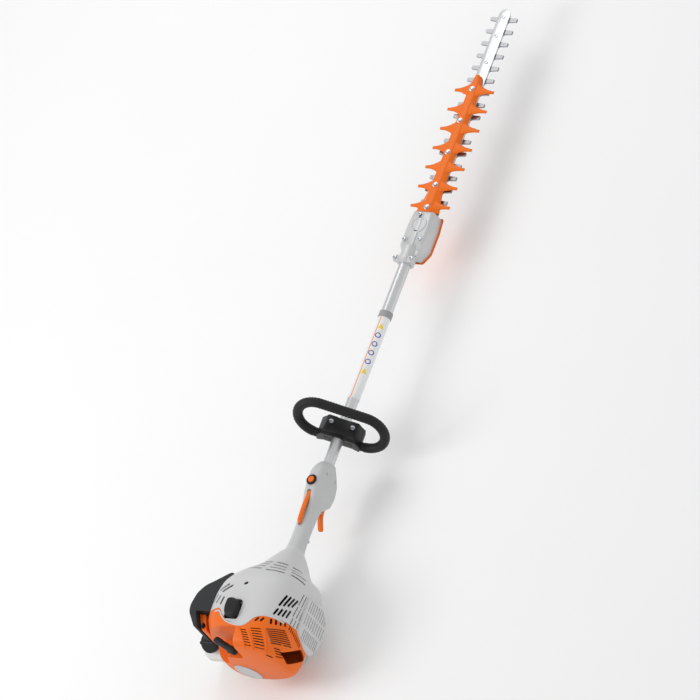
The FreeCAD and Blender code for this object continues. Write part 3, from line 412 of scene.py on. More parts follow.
def bend_points(corners, radius, steps=6):
    """Outline with each corner rounded by an arc."""
    points = []
    count = len(corners)
    for index in range(count):
        here = Vector(corners[index])
        back = Vector(corners[index - 1]) - here
        ahead = Vector(corners[(index + 1) % count]) - here
        reach = min(radius, back.length * 0.45, ahead.length * 0.45)
        start = here + back.normalized() * reach
        end = here + ahead.normalized() * reach
        for step in range(steps + 1):
            t = step / steps
            points.append(tuple(start * (1 - t) ** 2 + here * 2 * t * (1 - t) + end * t * t))
    return points


def shade(obj, angle=38.0):
    """Smooth faces with sharp edges kept."""
    mesh = obj.data
    mesh.polygons.foreach_set("use_smooth", [True] * len(mesh.polygons))
    mesh.set_sharp_from_angle(angle=math.radians(angle))
    mesh.update()


def dress(obj, body, look, nodes=(), angle=38.0):
    """Finish a piece: material, smoothing, body, and the CAD nodes it stands for."""
    obj.data.materials.clear()
    obj.data.materials.append(LOOK[look])
    shade(obj, angle)
    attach(obj, body)
    if nodes:
        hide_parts(*nodes)
    return obj


# ------------------------------------------------------------------ geometry nodes
def copies_tree():
    """Tree that sets a shape on every point, turned by its 'turn' attribute."""
    tree = bpy.data.node_groups.new("set_copies", "GeometryNodeTree")
    for name, kind, way in (("Points", "NodeSocketGeometry", "INPUT"), ("Shape", "NodeSocketObject", "INPUT"),
                            ("Size", "NodeSocketFloat", "INPUT"), ("Finish", "NodeSocketMaterial", "INPUT"),
                            ("Copies", "NodeSocketGeometry", "OUTPUT")):
        tree.interface.new_socket(name, in_out=way, socket_type=kind)
    make = tree.nodes.new
    source = make("NodeGroupInput")
    sink = make("NodeGroupOutput")
    shape = make("GeometryNodeObjectInfo")
    turn = make("GeometryNodeInputNamedAttribute")
    turn.data_type = "FLOAT_VECTOR"
    turn.inputs["Name"].default_value = "turn"
    to_rotation = make("FunctionNodeEulerToRotation")
    set_on = make("GeometryNodeInstanceOnPoints")
    realise = make("GeometryNodeRealizeInstances")
    finish = make("GeometryNodeSetMaterial")
    link = tree.links.new
    link(source.outputs["Points"], set_on.inputs["Points"])
    link(source.outputs["Shape"], shape.inputs["Object"])
    link(shape.outputs["Geometry"], set_on.inputs["Instance"])
    link(turn.outputs["Attribute"], to_rotation.inputs[0])
    link(to_rotation.outputs[0], set_on.inputs["Rotation"])
    link(source.outputs["Size"], set_on.inputs["Scale"])
    link(set_on.outputs["Instances"], realise.inputs["Geometry"])
    link(realise.outputs[0], finish.inputs["Geometry"])
    link(source.outputs["Finish"], finish.inputs["Material"])
    link(finish.outputs[0], sink.inputs["Copies"])
    return tree


COPIES = copies_tree()


def upright(places):
    """Frames that point straight up, at places in millimetres."""
    return [(spot(*place), UP, AHEAD) for place in places]


def set_copies(name, shape, frames, look="bright_steel"):
    """Copies of a shape at (place, direction, along) frames, by Geometry Nodes; the shape is removed."""
    mesh = bpy.data.meshes.new(name)
    mesh.from_pydata([place for place, _, _ in frames], [], [])
    turns = mesh.attributes.new("turn", "FLOAT_VECTOR", "POINT")
    for index, (_, direction, along) in enumerate(frames):
        turns.data[index].vector = facing(direction, along).to_euler()
    made = new_object(name, mesh)
    modifier = made.modifiers.new("copies", "NODES")
    modifier.node_group = COPIES
    keys = {item.name: item.identifier for item in COPIES.interface.items_tree if item.item_type == "SOCKET"}
    modifier[keys["Shape"]] = shape
    modifier[keys["Size"]] = 1.0
    modifier[keys["Finish"]] = LOOK[look]
    bake(made)
    bpy.data.objects.remove(shape)
    return made


def facing(direction, along):
    """Turn that brings +Z to a direction and +X as near as it can to another."""
    z = Vector(direction).normalized()
    x = Vector(along)
    x = (x - z * x.dot(z)).normalized()
    y = z.cross(x)
    return Matrix((x, y, z)).transposed()


def loose(name, outline, low, high):
    """Prism about the frame's own origin, for use as a copied shape; in millimetres."""
    return loft(name, [[Vector((u, v, level)) * MM for u, v in outline] for level in (low, high)])


def capsule(length, width, steps=5):
    """Outline of a slot with round ends, along X."""
    half = length / 2 - width / 2
    points = []
    for side, start in ((1, -90), (-1, 90)):
        for step in range(steps + 1):
            angle = math.radians(start + 180 * step / steps)
            points.append((side * half + width / 2 * math.cos(angle), width / 2 * math.sin(angle)))
    return points


def hex_bolt(radius, height, socket=True):
    """Loose bolt head: six flats with a washer, or a round head with a hexagon socket."""
    sides, ring = ([(radius * c, radius * s) for c, s in circle(count)] for count in (6, 30))
    if not socket:
        washer = loose("washer", [(u * 1.25, v * 1.25) for u, v in ring], 0, height * 0.22)
        head = rounded(loose("head", sides, height * 0.2, height), radius * 0.1)
        return joined("bolt", [washer, head])
    head = rounded(loose("head", ring, 0, height), radius * 0.15)
    hollow = loose("hollow", [(u * 0.5, v * 0.5) for u, v in sides], height * 0.4, height + 1)
    return carve(head, hollow)


# ------------------------------------------------------------------ cowl skin
# station: x, left, right, up, down, squareness
COWL = (
    (-90, 54, 92, 86, 47, 2.4), (-86, 64, 100, 96, 52, 2.5), (-76, 75, 106, 103, 55.5, 2.7),
    (-55, 88, 109, 107, 57, 2.8), (-15, 108, 107, 111, 57, 2.9), (30, 110, 105, 110, 57, 2.9),
    (62, 106, 105, 107, 57, 2.8), (84, 95, 103, 99, 57, 2.7), (100, 84, 97, 89, 57, 2.5),
    (112, 74, 88, 79, 56, 2.3), (122, 67, 72, 70, 55, 2.1), (142, 53, 53, 53, 50, 2),
    (160, 42, 42, 42, 42, 2), (176, 31.5, 31.5, 31.5, 31.5, 2), (193, 21, 21, 21, 21, 2),
)
HANDLE = (
    (193, 21, 21, 21, 21, 2), (205, 19.5, 19.5, 19.5, 19.5, 2), (235, 18.5, 18.5, 19, 19, 2),
    (280, 18.5, 18.5, 20, 20, 2.2), (298, 18.5, 18.5, 23, 23, 2.5), (312, 19, 19, 27, 36, 3),
    (325, 19, 19, 31, 47, 3.4), (345, 19, 19, 35, 50, 3.4), (366, 19, 19, 36, 45, 3.4),
    (382, 18.5, 18.5, 32, 34, 3), (393, 17.5, 17.5, 26, 25, 2.6), (401, 16.5, 16.5, 19, 18, 2.2),
)
WALL = 2.5


def station_at(stations, x):
    """Section sizes at x, by a smooth curve that doesn't overshoot."""
    xs = [station[0] for station in stations]
    x = min(max(x, xs[0]), xs[-1])
    last = max(index for index in range(len(xs) - 1) if xs[index] <= x)
    width = xs[last + 1] - xs[last]
    t = (x - xs[last]) / width
    sizes = []
    for item in range(1, 6):
        def slope(index):
            if index in (0, len(xs) - 1):
                return 0.0 if index else (stations[1][item] - stations[0][item]) / (xs[1] - xs[0])
            before = (stations[index][item] - stations[index - 1][item]) / (xs[index] - xs[index - 1])
            after = (stations[index + 1][item] - stations[index][item]) / (xs[index + 1] - xs[index])
            return 0.0 if before * after <= 0 else 2 * before * after / (before + after)
        p, q = stations[last][item], stations[last + 1][item]
        m, n = slope(last) * width, slope(last + 1) * width
        sizes.append(p * (2 * t ** 3 - 3 * t ** 2 + 1) + m * (t ** 3 - 2 * t ** 2 + t)
                     + q * (3 * t ** 2 - 2 * t ** 3) + n * (t ** 3 - t ** 2))
    return sizes


def skin_point(stations, x, degrees, inset=0.0):
    """Point of the skin at x, in the direction of an angle from +Y towards +Z."""
    left, right, up, down, power = station_at(stations, x)
    c, s = math.cos(math.radians(degrees)), math.sin(math.radians(degrees))
    across = (left if c > 0 else right) - inset
    rise = (up if s > 0 else down) - inset
    reach = (abs(c / across) ** power + abs(s / rise) ** power) ** (-1 / power)
    return x, c * reach, s * reach


def skin_normal(stations, x, degrees):
    """Outward direction of the skin."""
    ahead, behind = Vector(skin_point(stations, x + 2, degrees)), Vector(skin_point(stations, x - 2, degrees))
    more, less = Vector(skin_point(stations, x, degrees + 2)), Vector(skin_point(stations, x, degrees - 2))
    return (more - less).cross(ahead - behind).normalized()


def skin(name, stations, x0, x1, inset=0.0, step=4.0, around=120):
    """Closed body of the skin between two stations."""
    count = max(2, int((x1 - x0) / step))
    places = {x0 + (x1 - x0) * index / count for index in range(count + 1)}
    places |= {station[0] for station in stations if x0 < station[0] < x1}
    rings = []
    for x in sorted(places):
        at = min(max(x, stations[0][0]), stations[-1][0])
        ring = []
        for index in range(around):
            _, y, z = skin_point(stations, at, 360 * index / around, inset)
            ring.append(spot(x, y, z))
        rings.append(ring)
    return loft(name, rings)


def skin_frame(x, degrees, to_x, to_degrees):
    """Frame of a slot that lies on the cowl from one point towards another."""
    start, end = Vector(skin_point(COWL, x, degrees)), Vector(skin_point(COWL, to_x, to_degrees))
    normal = skin_normal(COWL, (x + to_x) / 2, (degrees + to_degrees) / 2)
    return spot(*(start + end) / 2), normal, end - start


def slots(name, lines, width, depth=7.0):
    """Cutter of slots along lines on the cowl, each line as (x, degrees, x, degrees)."""
    groups = {}
    for line in lines:
        frame_here = skin_frame(*line)
        groups.setdefault(round(frame_here[2].length), []).append(frame_here)
    cutters = []
    for length, frames in groups.items():
        shape = loose("slot_shape", capsule(length + width, width), -depth, depth)
        cutters.append(set_copies(name, shape, frames))
    return joined(name, cutters)


def rows_between(first, second, count):
    """Lines spread evenly from one line to another."""
    return [tuple(a + (b - a) * index / (count - 1) for a, b in zip(first, second)) for index in range(count)]


def parting(shift):
    """Solid in front of the parting line: level across, with a round notch behind the plug boot."""
    notch = [(-8, 54), (-14, 46), (-24, 38), (-37, 22), (-44, 0), (-44, -20), (-36, -33), (-22, -45), (-15, -58),
             (-12, -80), (-10, -102), (-14, -150)]
    top = [(300, 150), (-14, 150), (-10, 80)] + notch + [(300, -150)]
    upper = prism("parting_upper", [(x + shift, y) for x, y in top], 30, 200)
    low = block("parting_low", -14 + shift, 300, -149, 149, -120, 31)
    return carve(upper, low, "UNION")


def build_shroud():
    """Grey engine shroud with its vents, boot opening and ribbed side grille."""
    shroud = skin("engine_shroud_skin", COWL, -90, 193, step=3.5)
    carve(shroud, skin("hollow", COWL, -87, 196, WALL, step=6))
    carve(shroud, parting(0.3), "INTERSECT")
    cuts = []
    front = rows_between((134, 103, 134, 123), (100, 100, 100, 124), 4)
    front += rows_between((132, 137, 130, 155), (100, 135, 92, 152), 4)
    front += rows_between((133, 74, 133, 91), (103, 67, 103, 89), 4)
    cuts.append(slots("front_vents", front, 5.4))
    side = rows_between((45, 136.5, 19, 132.5), (47, 150, 29, 146), 4)
    side += rows_between((9, 132.5, -4, 130.5), (17, 146, 1, 144), 4)
    cuts.append(slots("side_vents", side, 5.0))
    left = rows_between((50, 63, 38, 53), (46, 69, 33, 59), 2)
    left += rows_between((26, 51, 13, 47), (17, 64, 2, 63), 3)
    cuts.append(slots("left_vents", left, 6.0))
    grille = rows_between((68, 155, 41, 153), (68, 205, 41, 205), 12)
    grille += rows_between((36, 153, 12, 151), (36, 205, 12, 205), 12)
    grille += rows_between((7, 152, -8, 151), (7, 205, -8, 205), 12)
    cuts.append(slots("side_grille", grille, 2.6, 4.0))
    cuts.append(slots("screw_recess", [(55, 87, 53, 85)], 7.0))
    hole = bend_points(((13.6, 2), (13.6, 31.6), (-33.6, 31.6), (-33.6, -5.6), (8, -5.6)), 7)
    cuts.append(prism("boot_opening", hole, 85, 140))
    for cutter in cuts:
        carve(shroud, cutter)
    outward(shroud)
    return dress(shroud, "frame", "shroud_grey", ["engine_shroud"])


def build_side_guard():
    """Flat louvred guard on the right flank, flush with the shroud at its top."""
    outline = bend_points(((70, 34), (74, -20), (48, -54), (2, -57), (-34, -40), (-34, -8), (-12, 34)), 8)
    guard = rounded(prism("side_guard_block", outline, -111, -76, "xz"), 5, 4)
    carve(guard, skin("flank", COWL, -90, 193, 0.3, step=8, around=72))
    frames = []
    for middle, top, bottom in ((54, 26, -40), (23, 26, -46), (-9, 16, -40)):
        for step in range(9):
            frames.append((spot(middle, -111, top + (bottom - top) * step / 8), (0, -1, 0), AHEAD))
    carve(guard, set_copies("guard_slots", loose("guard_slot", capsule(26, 3.2), -2.4, 4), frames))
    return dress(outward(guard), "frame", "shroud_grey")


def build_notch_rim():
    """Pale lip along the shroud's rear edge, where it dips round the plug."""
    line = [(-17, 62), (-15, 54), (-18, 46), (-27, 38), (-39, 22), (-45, 0), (-45, -20), (-38, -32), (-25, -43),
            (-17, -56), (-14, -70), (-13, -84), (-14, -96)]
    spots = []
    for x, y in smooth_line(line, 5):
        left, right, height, _, power = station_at(COWL, x)
        z = height * max(0.02, 1 - abs(y / (left if y > 0 else right)) ** power) ** (1 / power)
        spots.append(Vector((x, y, z)))
    rings = []
    for index, base in enumerate(spots):
        along = (spots[min(index + 1, len(spots) - 1)] - spots[max(index - 1, 0)]).normalized()
        normal = skin_normal(COWL, base.x, math.degrees(math.atan2(base.z, base.y)))
        side = along.cross(normal).normalized()
        rings.append([spot(*(base + side * u + normal * v)) for u, v in
                      ((-1.9, -0.8), (-1.7, 0.7), (-0.8, 1.3), (0.8, 1.3), (1.7, 0.7), (1.9, -0.8))])
    return dress(loft("shroud_edge_lip", rings), "frame", "shroud_grey", angle=60)


def grip_corner(grow):
    """Open corner of the housing where the grip lies, with filleted steps."""
    section = [(-8 - grow, 300), (-8 - grow, 47 - grow), (-2 - grow, 41 - grow), (34 - grow, 41 - grow),
               (41 - grow, 34 - grow), (41 - grow, 20 - grow), (47 - grow, 14 - grow), (300, 14 - grow), (300, 300)]
    corner = prism("grip_corner", section, -300, -50 + grow, "yz")
    return rounded(corner, 5, 4, 20)


def build_starter_housing():
    """Orange starter housing: framed louvres, exhaust mouth and the grip's pocket."""
    body = skin("starter_housing_skin", COWL, -90, 20, step=3.0, around=160)
    hollow = skin("hollow", COWL, -87.5, 24, WALL, step=6)
    carve(hollow, grip_corner(WALL))
    carve(body, grip_corner(0))
    carve(body, hollow)
    carve(body, parting(-0.4))
    louvres = rows_between((-55, 99, -55, 108), (-84, 111, -84, 118.5), 7)
    louvres += rows_between((-49, 113, -46, 123), (-84, 124, -82.5, 134.5), 8)
    louvres += rows_between((-42, 129, -28, 148), (-66, 139, -50, 163), 8)
    louvres += rows_between((-73, 144, -70, 151), (-84, 151, -80, 159), 4)
    small = [(-30, 115, -24, 117), (-28, 120.5, -22, 122)]
    small += rows_between((-27, 131, -19, 130), (-18, 146, -12, 145), 4)
    column = rows_between((-20, 152, -12, 152), (-38, 175, -29, 175), 9)
    exhaust = [skin_point(COWL, x, degrees)[::2] for x, degrees in ((-75, 152), (-37, 180), (-47, 197), (-84, 170))]
    mouth = prism("exhaust_mouth", bend_points(exhaust, 5), -130, -78, "xz")
    for cutter in (slots("rear_louvres", louvres, 2.4, 4.0), slots("small_vents", small, 5.0),
                   slots("right_column", column, 3.4), mouth,
                   slots("rear_slit", [(-88.5, 141, -88, 148)], 4.0, 5.0)):
        carve(body, cutter)
    outward(body)
    dress(body, "frame", "housing_orange", ["starter_housing"])
    frames = [rows_between((-53, 110.5), (-88, 122.5), 12), rows_between((-45, 127), (-87, 138), 14),
              rows_between((-51, 99), (-89, 112), 12)]
    bars = []
    for line in frames:
        rings = []
        for x, degrees in line:
            base = Vector(skin_point(COWL, max(x, -89), degrees))
            normal = skin_normal(COWL, max(x, -86), degrees)
            side = normal.cross(Vector(AHEAD)).normalized()
            rings.append([spot(*(base + side * u + normal * v))
                          for u, v in ((-2.6, -1), (-1.8, 1.5), (1.8, 1.5), (2.6, -1))])
        bars.append(loft("louvre_bar", rings))
    dress(rounded(joined("louvre_bars", bars), 0.5), "frame", "housing_orange")


def build_badge():
    """Blank oval plate with a raised rim on the rear face."""
    tilt = math.radians(43)
    rings = []
    for reach, depth in ((1.0, -89.5), (1.0, -91.2), (0.95, -91.8), (0.88, -91.8), (0.85, -91.2), (0.5, -91.2)):
        ring = []
        for c, s in circle(64):
            u, v = 32 * reach * c, 21 * reach * s
            ring.append(spot(depth, 17 + u * math.cos(tilt) - v * math.sin(tilt),
                             -21 + u * math.sin(tilt) + v * math.cos(tilt)))
        rings.append(ring)
    dress(loft("badge_oval", rings), "frame", "badge_silver", ["badge_plate"])


def build_boot():
    """Rubber plug boot: a rounded block with a raised finger ridge and a narrower tail."""
    outline = bend_points(((13, 15), (11, 30.5), (-12, 31), (-31, 24), (-33, 4), (-28, -5), (-6, -5), (6, 4)), 9, 6)
    rings = []
    for level, reach in ((98, 0.97), (112, 1.0), (118, 0.99), (121.5, 0.94), (123.4, 0.84), (124, 0.7)):
        rings.append([spot(-10 + (x + 10) * reach, 13 + (y - 13) * reach, level) for x, y in outline])
    dress(loft("plug_boot", rings), "frame", "black_rubber", ["spark_plug_boot"], angle=50)


CAP_CENTRE = (-28, 135, -20)
CAP_AXIS = (-0.6, 0, 0.8)


def build_intake():
    """Dark filter cover with a lower band and rounded edges, and the orange panel behind it."""
    plan = ((90, 70), (90, 78), (68, 109), (55, 129), (36, 143), (7, 149), (-10, 146), (-45, 120), (-45, 110),
            (-6, 130), (-6, 70))
    cover = rounded(prism("filter_cover_shell", bend_points(plan, 7, 5), -30, 80), 5, 4, 50)
    inside = ((84, 60), (84, 79), (66, 107), (53, 127), (35, 140.4), (7, 146.4), (-3.5, 144.6), (-3.5, 60))
    carve(cover, prism("cover_room", inside, -4, 77))
    carve(cover, skin("cowl_space", COWL, -90, 193, -0.4, step=8, around=72))
    carve(cover, block("tank_space", -80, 60.4, 96, 170, -60, -7.6))
    carve(cover, turned("cap_space", ((23.5, -6), (23.5, 54)), CAP_CENTRE, CAP_AXIS, 40))
    groove = ((96, 70), (96, 79), (70.6, 111), (57, 131.5), (37, 145.8), (7, 152), (-11.5, 148.8), (-60, 121),
              (-60, 118), (-10, 145.2), (7, 148.2), (35.6, 142.2), (54.4, 128.4), (67.4, 108.4), (89.2, 77.5),
              (89, 70))
    carve(cover, prism("cover_groove", bend_points(groove, 1, 1), 22, 23.6))
    dress(outward(cover), "frame", "cover_dark", ["air_filter_cover"])
    panel = prism("intake_panel_shell", bend_points(((-6, 112), (-6, 129.4), (-44, 109), (-44, 96)), 4, 4), 2, 64)
    rounded(panel, 3, 3, 50)
    carve(panel, prism("panel_dent", bend_points(((-14, 118), (-14, 140), (-38, 130), (-38, 106)), 4, 3), 10, 34))
    carve(panel, skin("cowl_space", COWL, -90, 193, -0.4, step=8, around=72))
    dress(outward(panel), "frame", "housing_orange", ["intake_panel"])


def build_tank():
    """Milky fuel tank with rounded mould edges and a neck, and its ribbed cap."""
    side = ((60, -108), (-20, -108), (-48, -72), (-50, -44), (-12, -8), (60, -8))
    tall = rounded(prism("tank_tall", side, 97, 165, "xz"), 9, 5, 20)
    low = rounded(block("tank_low", -20, 72, -50, 104, -108, -60), 9, 5)
    tank = outward(carve(tall, low, "UNION"))
    neck = turned("tank_neck", ((17, -14), (17, 3), (18.5, 3), (18.5, 5)), CAP_CENTRE, CAP_AXIS)
    dress(joined("tank_shell", [tank, neck]), "frame", "tank_white", ["fuel_tank"], angle=50)
    profile = ((12, 2.4), (21, 2.6), (22, 4), (22, 11), (20.8, 13.2), (15, 14))
    cap = turned("cap_body", profile, CAP_CENTRE, CAP_AXIS, 72)
    axis, across = Vector(CAP_AXIS), Vector(LEFT)
    frames = []
    for c, s in circle(30):
        radial = across * c + axis.cross(across) * s
        frames.append((spot(*CAP_CENTRE) + (axis * 7.4 + radial * 21.6) * MM, axis, radial.cross(axis)))
    ridges = set_copies("cap_ridges", loose("ridge", capsule(5, 1.6, 3), -4.2, 4.2), frames, "black_plastic")
    rib = rounded(loose("rib", capsule(40, 8, 8), 13, 20), 1.5, 3)
    rib = set_copies("cap_rib", rib, [(spot(*CAP_CENTRE), axis, across)], "black_plastic")
    dress(joined("filler_cap", [cap, ridges, rib]), "cap", "black_plastic", ["fuel_cap"], angle=50)


def build_starter_grip():
    """T grip of the starter: a waisted bar with a rounded back, on a short ribbed neck."""
    turn = math.radians(22.6)
    way = Vector((-math.sin(turn), -math.cos(turn), 0))
    side = Vector((-way.y, way.x, 0))
    centre = Vector((-76, 32.75, 64))
    half = ((35, 3, 3), (34, 6, 5.5), (30, 7.6, 7.2), (20, 7.9, 7.8), (9, 6.8, 7))
    stations = [(-reach, wide, tall) for reach, wide, tall in half] + [(0, 7.6, 7.8)] + list(reversed(half))
    rings = [[spot(*(centre + way * reach + side * squared(c, 0.75) * wide + Vector(UP) * squared(s, 0.75) * tall))
              for c, s in circle(28)] for reach, wide, tall in stations]
    bar = loft("grip_bar", rings)
    foot = (-76, 32.75, 0)
    ribbed = ((5, 41.6), (6.2, 42), (6.4, 46), (5.4, 47), (6.4, 48.5), (5.4, 50), (6.2, 52), (6.4, 60))
    neck = turned("grip_neck", ribbed, foot)
    knot = turned("rope_knot", ((3.4, 70), (3.4, 72.0), (2.2, 72.4)), foot, steps=24)
    dress(joined("starter_pull_grip", [bar, neck, knot]), "grip", "black_rubber", ["starter_grip"], angle=60)


# ------------------------------------------------------------------ handles
SHELL_SCREWS = ((222, -10), (296, -14), (372, -18), (372, 18))
BUTTON = (347, 0, 35)


def build_handle():
    """Two moulded halves with a seam, screw wells and the control slots."""
    for side, hand in ((1, "left"), (-1, "right")):
        half = skin("handle_half_" + hand, HANDLE, 193, 401, step=3.0, around=96)
        y0, y1 = sorted((side * 0.15, side * 60))
        carve(half, block("half_space", 180, 420, y0, y1, -90, 90), "INTERSECT")
        carve(half, turned("bore", ((12.7, 0), (12.7, 230)), (185, 0, 0), AHEAD))
        carve(half, rounded(block("lockout_slot", 246, 327, -5.2, 5.2, 13, 60), 2))
        carve(half, rounded(block("trigger_slot", 268, 352, -6.4, 6.4, -70, -13.5), 2))
        carve(half, turned("button_well", ((10, 10), (10, 60)), (347, 0, 0)))
        for x, z in SHELL_SCREWS:
            carve(half, turned("screw_well", ((4.2, 0), (4.2, 12)), (x, side * 17.2, z), (0, side, 0), 24))
        dress(rounded(outward(half), 0.6, 2, 60), "frame", "handle_grey", ["handle_shell_" + hand])
    heads = [(spot(x, side * 14.5, z), (0, side, 0), AHEAD) for side in (1, -1) for x, z in SHELL_SCREWS]
    screws = set_copies("handle_screw_heads", hex_bolt(3.4, 3.0), heads)
    dress(screws, "frame", "bright_steel", ["handle_screws"])


def curved_bar(name, centre_line, half_width, thickness):
    """Lever swept along (x, z) points in the middle plane, with a rounded section."""
    rings = []
    count = len(centre_line)
    for index, (x, z) in enumerate(centre_line):
        before = Vector(centre_line[max(index - 1, 0)])
        after = Vector(centre_line[min(index + 1, count - 1)])
        along = (after - before).normalized()
        up = Vector((-along.y, along.x))
        taper = 0.72 if index in (0, count - 1) else 1.0
        ring = []
        for c, s in circle(20):
            rise = squared(s, 0.7) * thickness / 2 * taper
            ring.append(spot(x + up.x * rise, squared(c, 0.55) * half_width * taper, z + up.y * rise))
        rings.append(ring)
    return loft(name, rings)


def smooth_line(points, steps=6):
    """Catmull-Rom line through points."""
    spots = [Vector(point) for point in points]
    spots = [spots[0] * 2 - spots[1]] + spots + [spots[-1] * 2 - spots[-2]]
    line = []
    for index in range(1, len(spots) - 2):
        a, b, c, d = spots[index - 1:index + 3]
        for step in range(steps):
            t = step / steps
            line.append(tuple(0.5 * (b * 2 + (c - a) * t + (a * 2 - b * 5 + c * 4 - d) * t * t
                                     + (b * 3 - a - c * 3 + d) * t ** 3)))
    line.append(tuple(spots[-2]))
    return line


def build_controls():
    """Trigger, lockout lever with its thumb ridges, and the stop button in its collar."""
    path = smooth_line(((334, -39), (320, -37), (303, -37.5), (288, -45), (273, -58)))
    trigger = curved_bar("trigger_lever", path, 6, 8)
    dress(trigger, "trigger", "control_orange", ["throttle_trigger"], angle=50)
    path = smooth_line(((325, 25), (308, 27), (285, 27.5), (265, 26), (249, 22.5)))
    lever = curved_bar("lockout_lever", path, 4.8, 7)
    ridge = rounded(loose("thumb_ridge", capsule(8, 1.6, 3), -1, 1), 0.3)
    frames = [(spot(256 + 5 * k, 0, 28.2 + 0.35 * k), (0.05, 0, 1), LEFT) for k in range(6)]
    ridges = set_copies("thumb_ridges", ridge, frames, "control_orange")
    dress(joined("lockout_lever_top", [lever, ridges]), "lockout", "control_orange", ["throttle_lockout"], angle=50)
    profile = ((4, -12), (7.3, -6), (7.3, 3.5), (6.4, 4.8), (3.5, 4.2), (1, 4.0))
    button = turned("stop_button_cap", profile, BUTTON)
    dress(button, "stop", "control_orange", ["stop_button"], angle=50)
    profile = ((9.9, -14), (9.9, 0), (11.9, 0.1), (12, 2), (11, 3.2), (8.6, 3.2), (7.7, 2.2), (7.7, -13))
    dress(turned("stop_collar", profile, BUTTON), "frame", "black_plastic", ["button_bezel"], angle=50)


LOOP_TURN = math.radians(30)
LOOP_X = 490.0


def loop_spot(x, y, z):
    """Point of the loop handle from its own upright frame about the shaft."""
    c, s = math.cos(LOOP_TURN), math.sin(LOOP_TURN)
    return spot(LOOP_X + x, y * c - z * s, y * s + z * c)


def loop_line():
    """Centre line of the grip, from one bracket leg round to the other."""
    low, high, half, corner, start, steps = -15.0, 78.0, 97.5, 46.0, 48.4, 12
    lean = math.tan(math.radians(16))
    centres = ((half - corner, low + corner, -90), (half - corner, high - corner, 0),
               (corner - half, high - corner, 90), (corner - half, low + corner, 180))
    line = [(start, low)]
    for y, z, begin in centres:
        for step in range(steps + 1):
            angle = math.radians(begin + 90 * step / steps)
            line.append((y + corner * math.cos(angle), z + corner * math.sin(angle)))
    line.append((-start, low))
    return [(-18 + (z - low) * lean, y, z) for y, z in line]


def loop_prism(name, outline, low, high):
    """Straight solid along X over a (y, z) outline in the loop's own frame."""
    return loft(name, [[loop_spot(x, y, z) for y, z in outline] for x in (low, high)])


def loop_tube(name, line, radius_at, sides):
    """Round tube along a line in the loop's frame, with a radius for each share of the way."""
    rings = []
    count = len(line)
    for index, point in enumerate(line):
        before, after = Vector(line[max(index - 1, 0)]), Vector(line[min(index + 1, count - 1)])
        along = (after - before).normalized()
        side = along.cross(Vector(AHEAD)).normalized()
        other = side.cross(along).normalized()
        radius = radius_at(index / (count - 1))
        rings.append([loop_spot(*(Vector(point) + (side * c + other * s) * radius)) for c, s in circle(sides)])
    return loft(name, rings)


def resample(line, step):
    """The same line with points a step apart."""
    points = [Vector(line[0])]
    for first, second in zip(line, line[1:]):
        first, second = Vector(first), Vector(second)
        count = max(1, round((second - first).length / step))
        points += [first.lerp(second, (index + 1) / count) for index in range(count)]
    return points


def build_loop():
    """Rubber loop grip with moulded ridges, and its arched bracket."""
    line = resample(loop_line(), 1.6)

    def grip_radius(share):
        end = 0.8 if min(share, 1 - share) < 0.02 else 0.0
        ridge = 0.45 if 0.12 < share < 0.88 and math.sin(share * 2 * math.pi * 64) > 0.2 else 0.0
        return 10.5 - end + ridge
    grip = loop_tube("loop_grip_rubber", line, grip_radius, 32)
    dress(grip, "loop", "black_rubber", ["loop_grip"], angle=60)
    outline = ((-48, -26), (-48, -4), (-39, 10), (-34, 21), (-32, 22), (-17, 22), (-12, 19.8), (12, 19.8), (17, 22),
               (32, 22), (34, 21), (39, 10), (48, -4), (48, -26), (46, -28), (32, -22), (-32, -22), (-46, -28))
    arch = loop_prism("bracket_block", outline, -27, 15)
    waist = [[loop_spot(x, y, z) for x, z in ((-40, 60), (-40, 4), (-22, 13), (-17, 60))] for y in (-60, 60)]
    carve(arch, loft("rear_bevel", waist))
    carve(arch, loop_prism("bore", [(15.7 * c, 15.7 * s) for c, s in circle(40)], -40, 30))
    carve(arch, loop_prism("split", ((-32.4, -0.4), (32.4, -0.4), (32.4, 0.4), (-32.4, 0.4)), -40, 30))
    for side in (-1, 1):
        walls = ((side * 32, -40), (side * 32.5, -40), (side * 32.5, 0), (side * 32, 0))
        carve(arch, loop_prism("side_split", walls, -40, 30))
        hollow = ((side * 36, 2), (side * 44, -8), (side * 44, -20), (side * 36, -14))
        carve(arch, loop_prism("rib_hollow", hollow, 6, 30))
    dress(rounded(outward(arch), 1.6, 2, 40), "loop", "black_plastic", ["handle_clamp"])
    up = (loop_spot(0, 0, 1) - loop_spot(0, 0, 0)).normalized()
    across = (loop_spot(0, 1, 0) - loop_spot(0, 0, 0)).normalized()
    places = [(loop_spot(0, y, 21.6), up, across) for y in (-24, 24)]
    bolts = set_copies("bracket_bolt_heads", hex_bolt(4.8, 5.2), places)
    dress(bolts, "loop", "bright_steel", ["loop_bolts"])


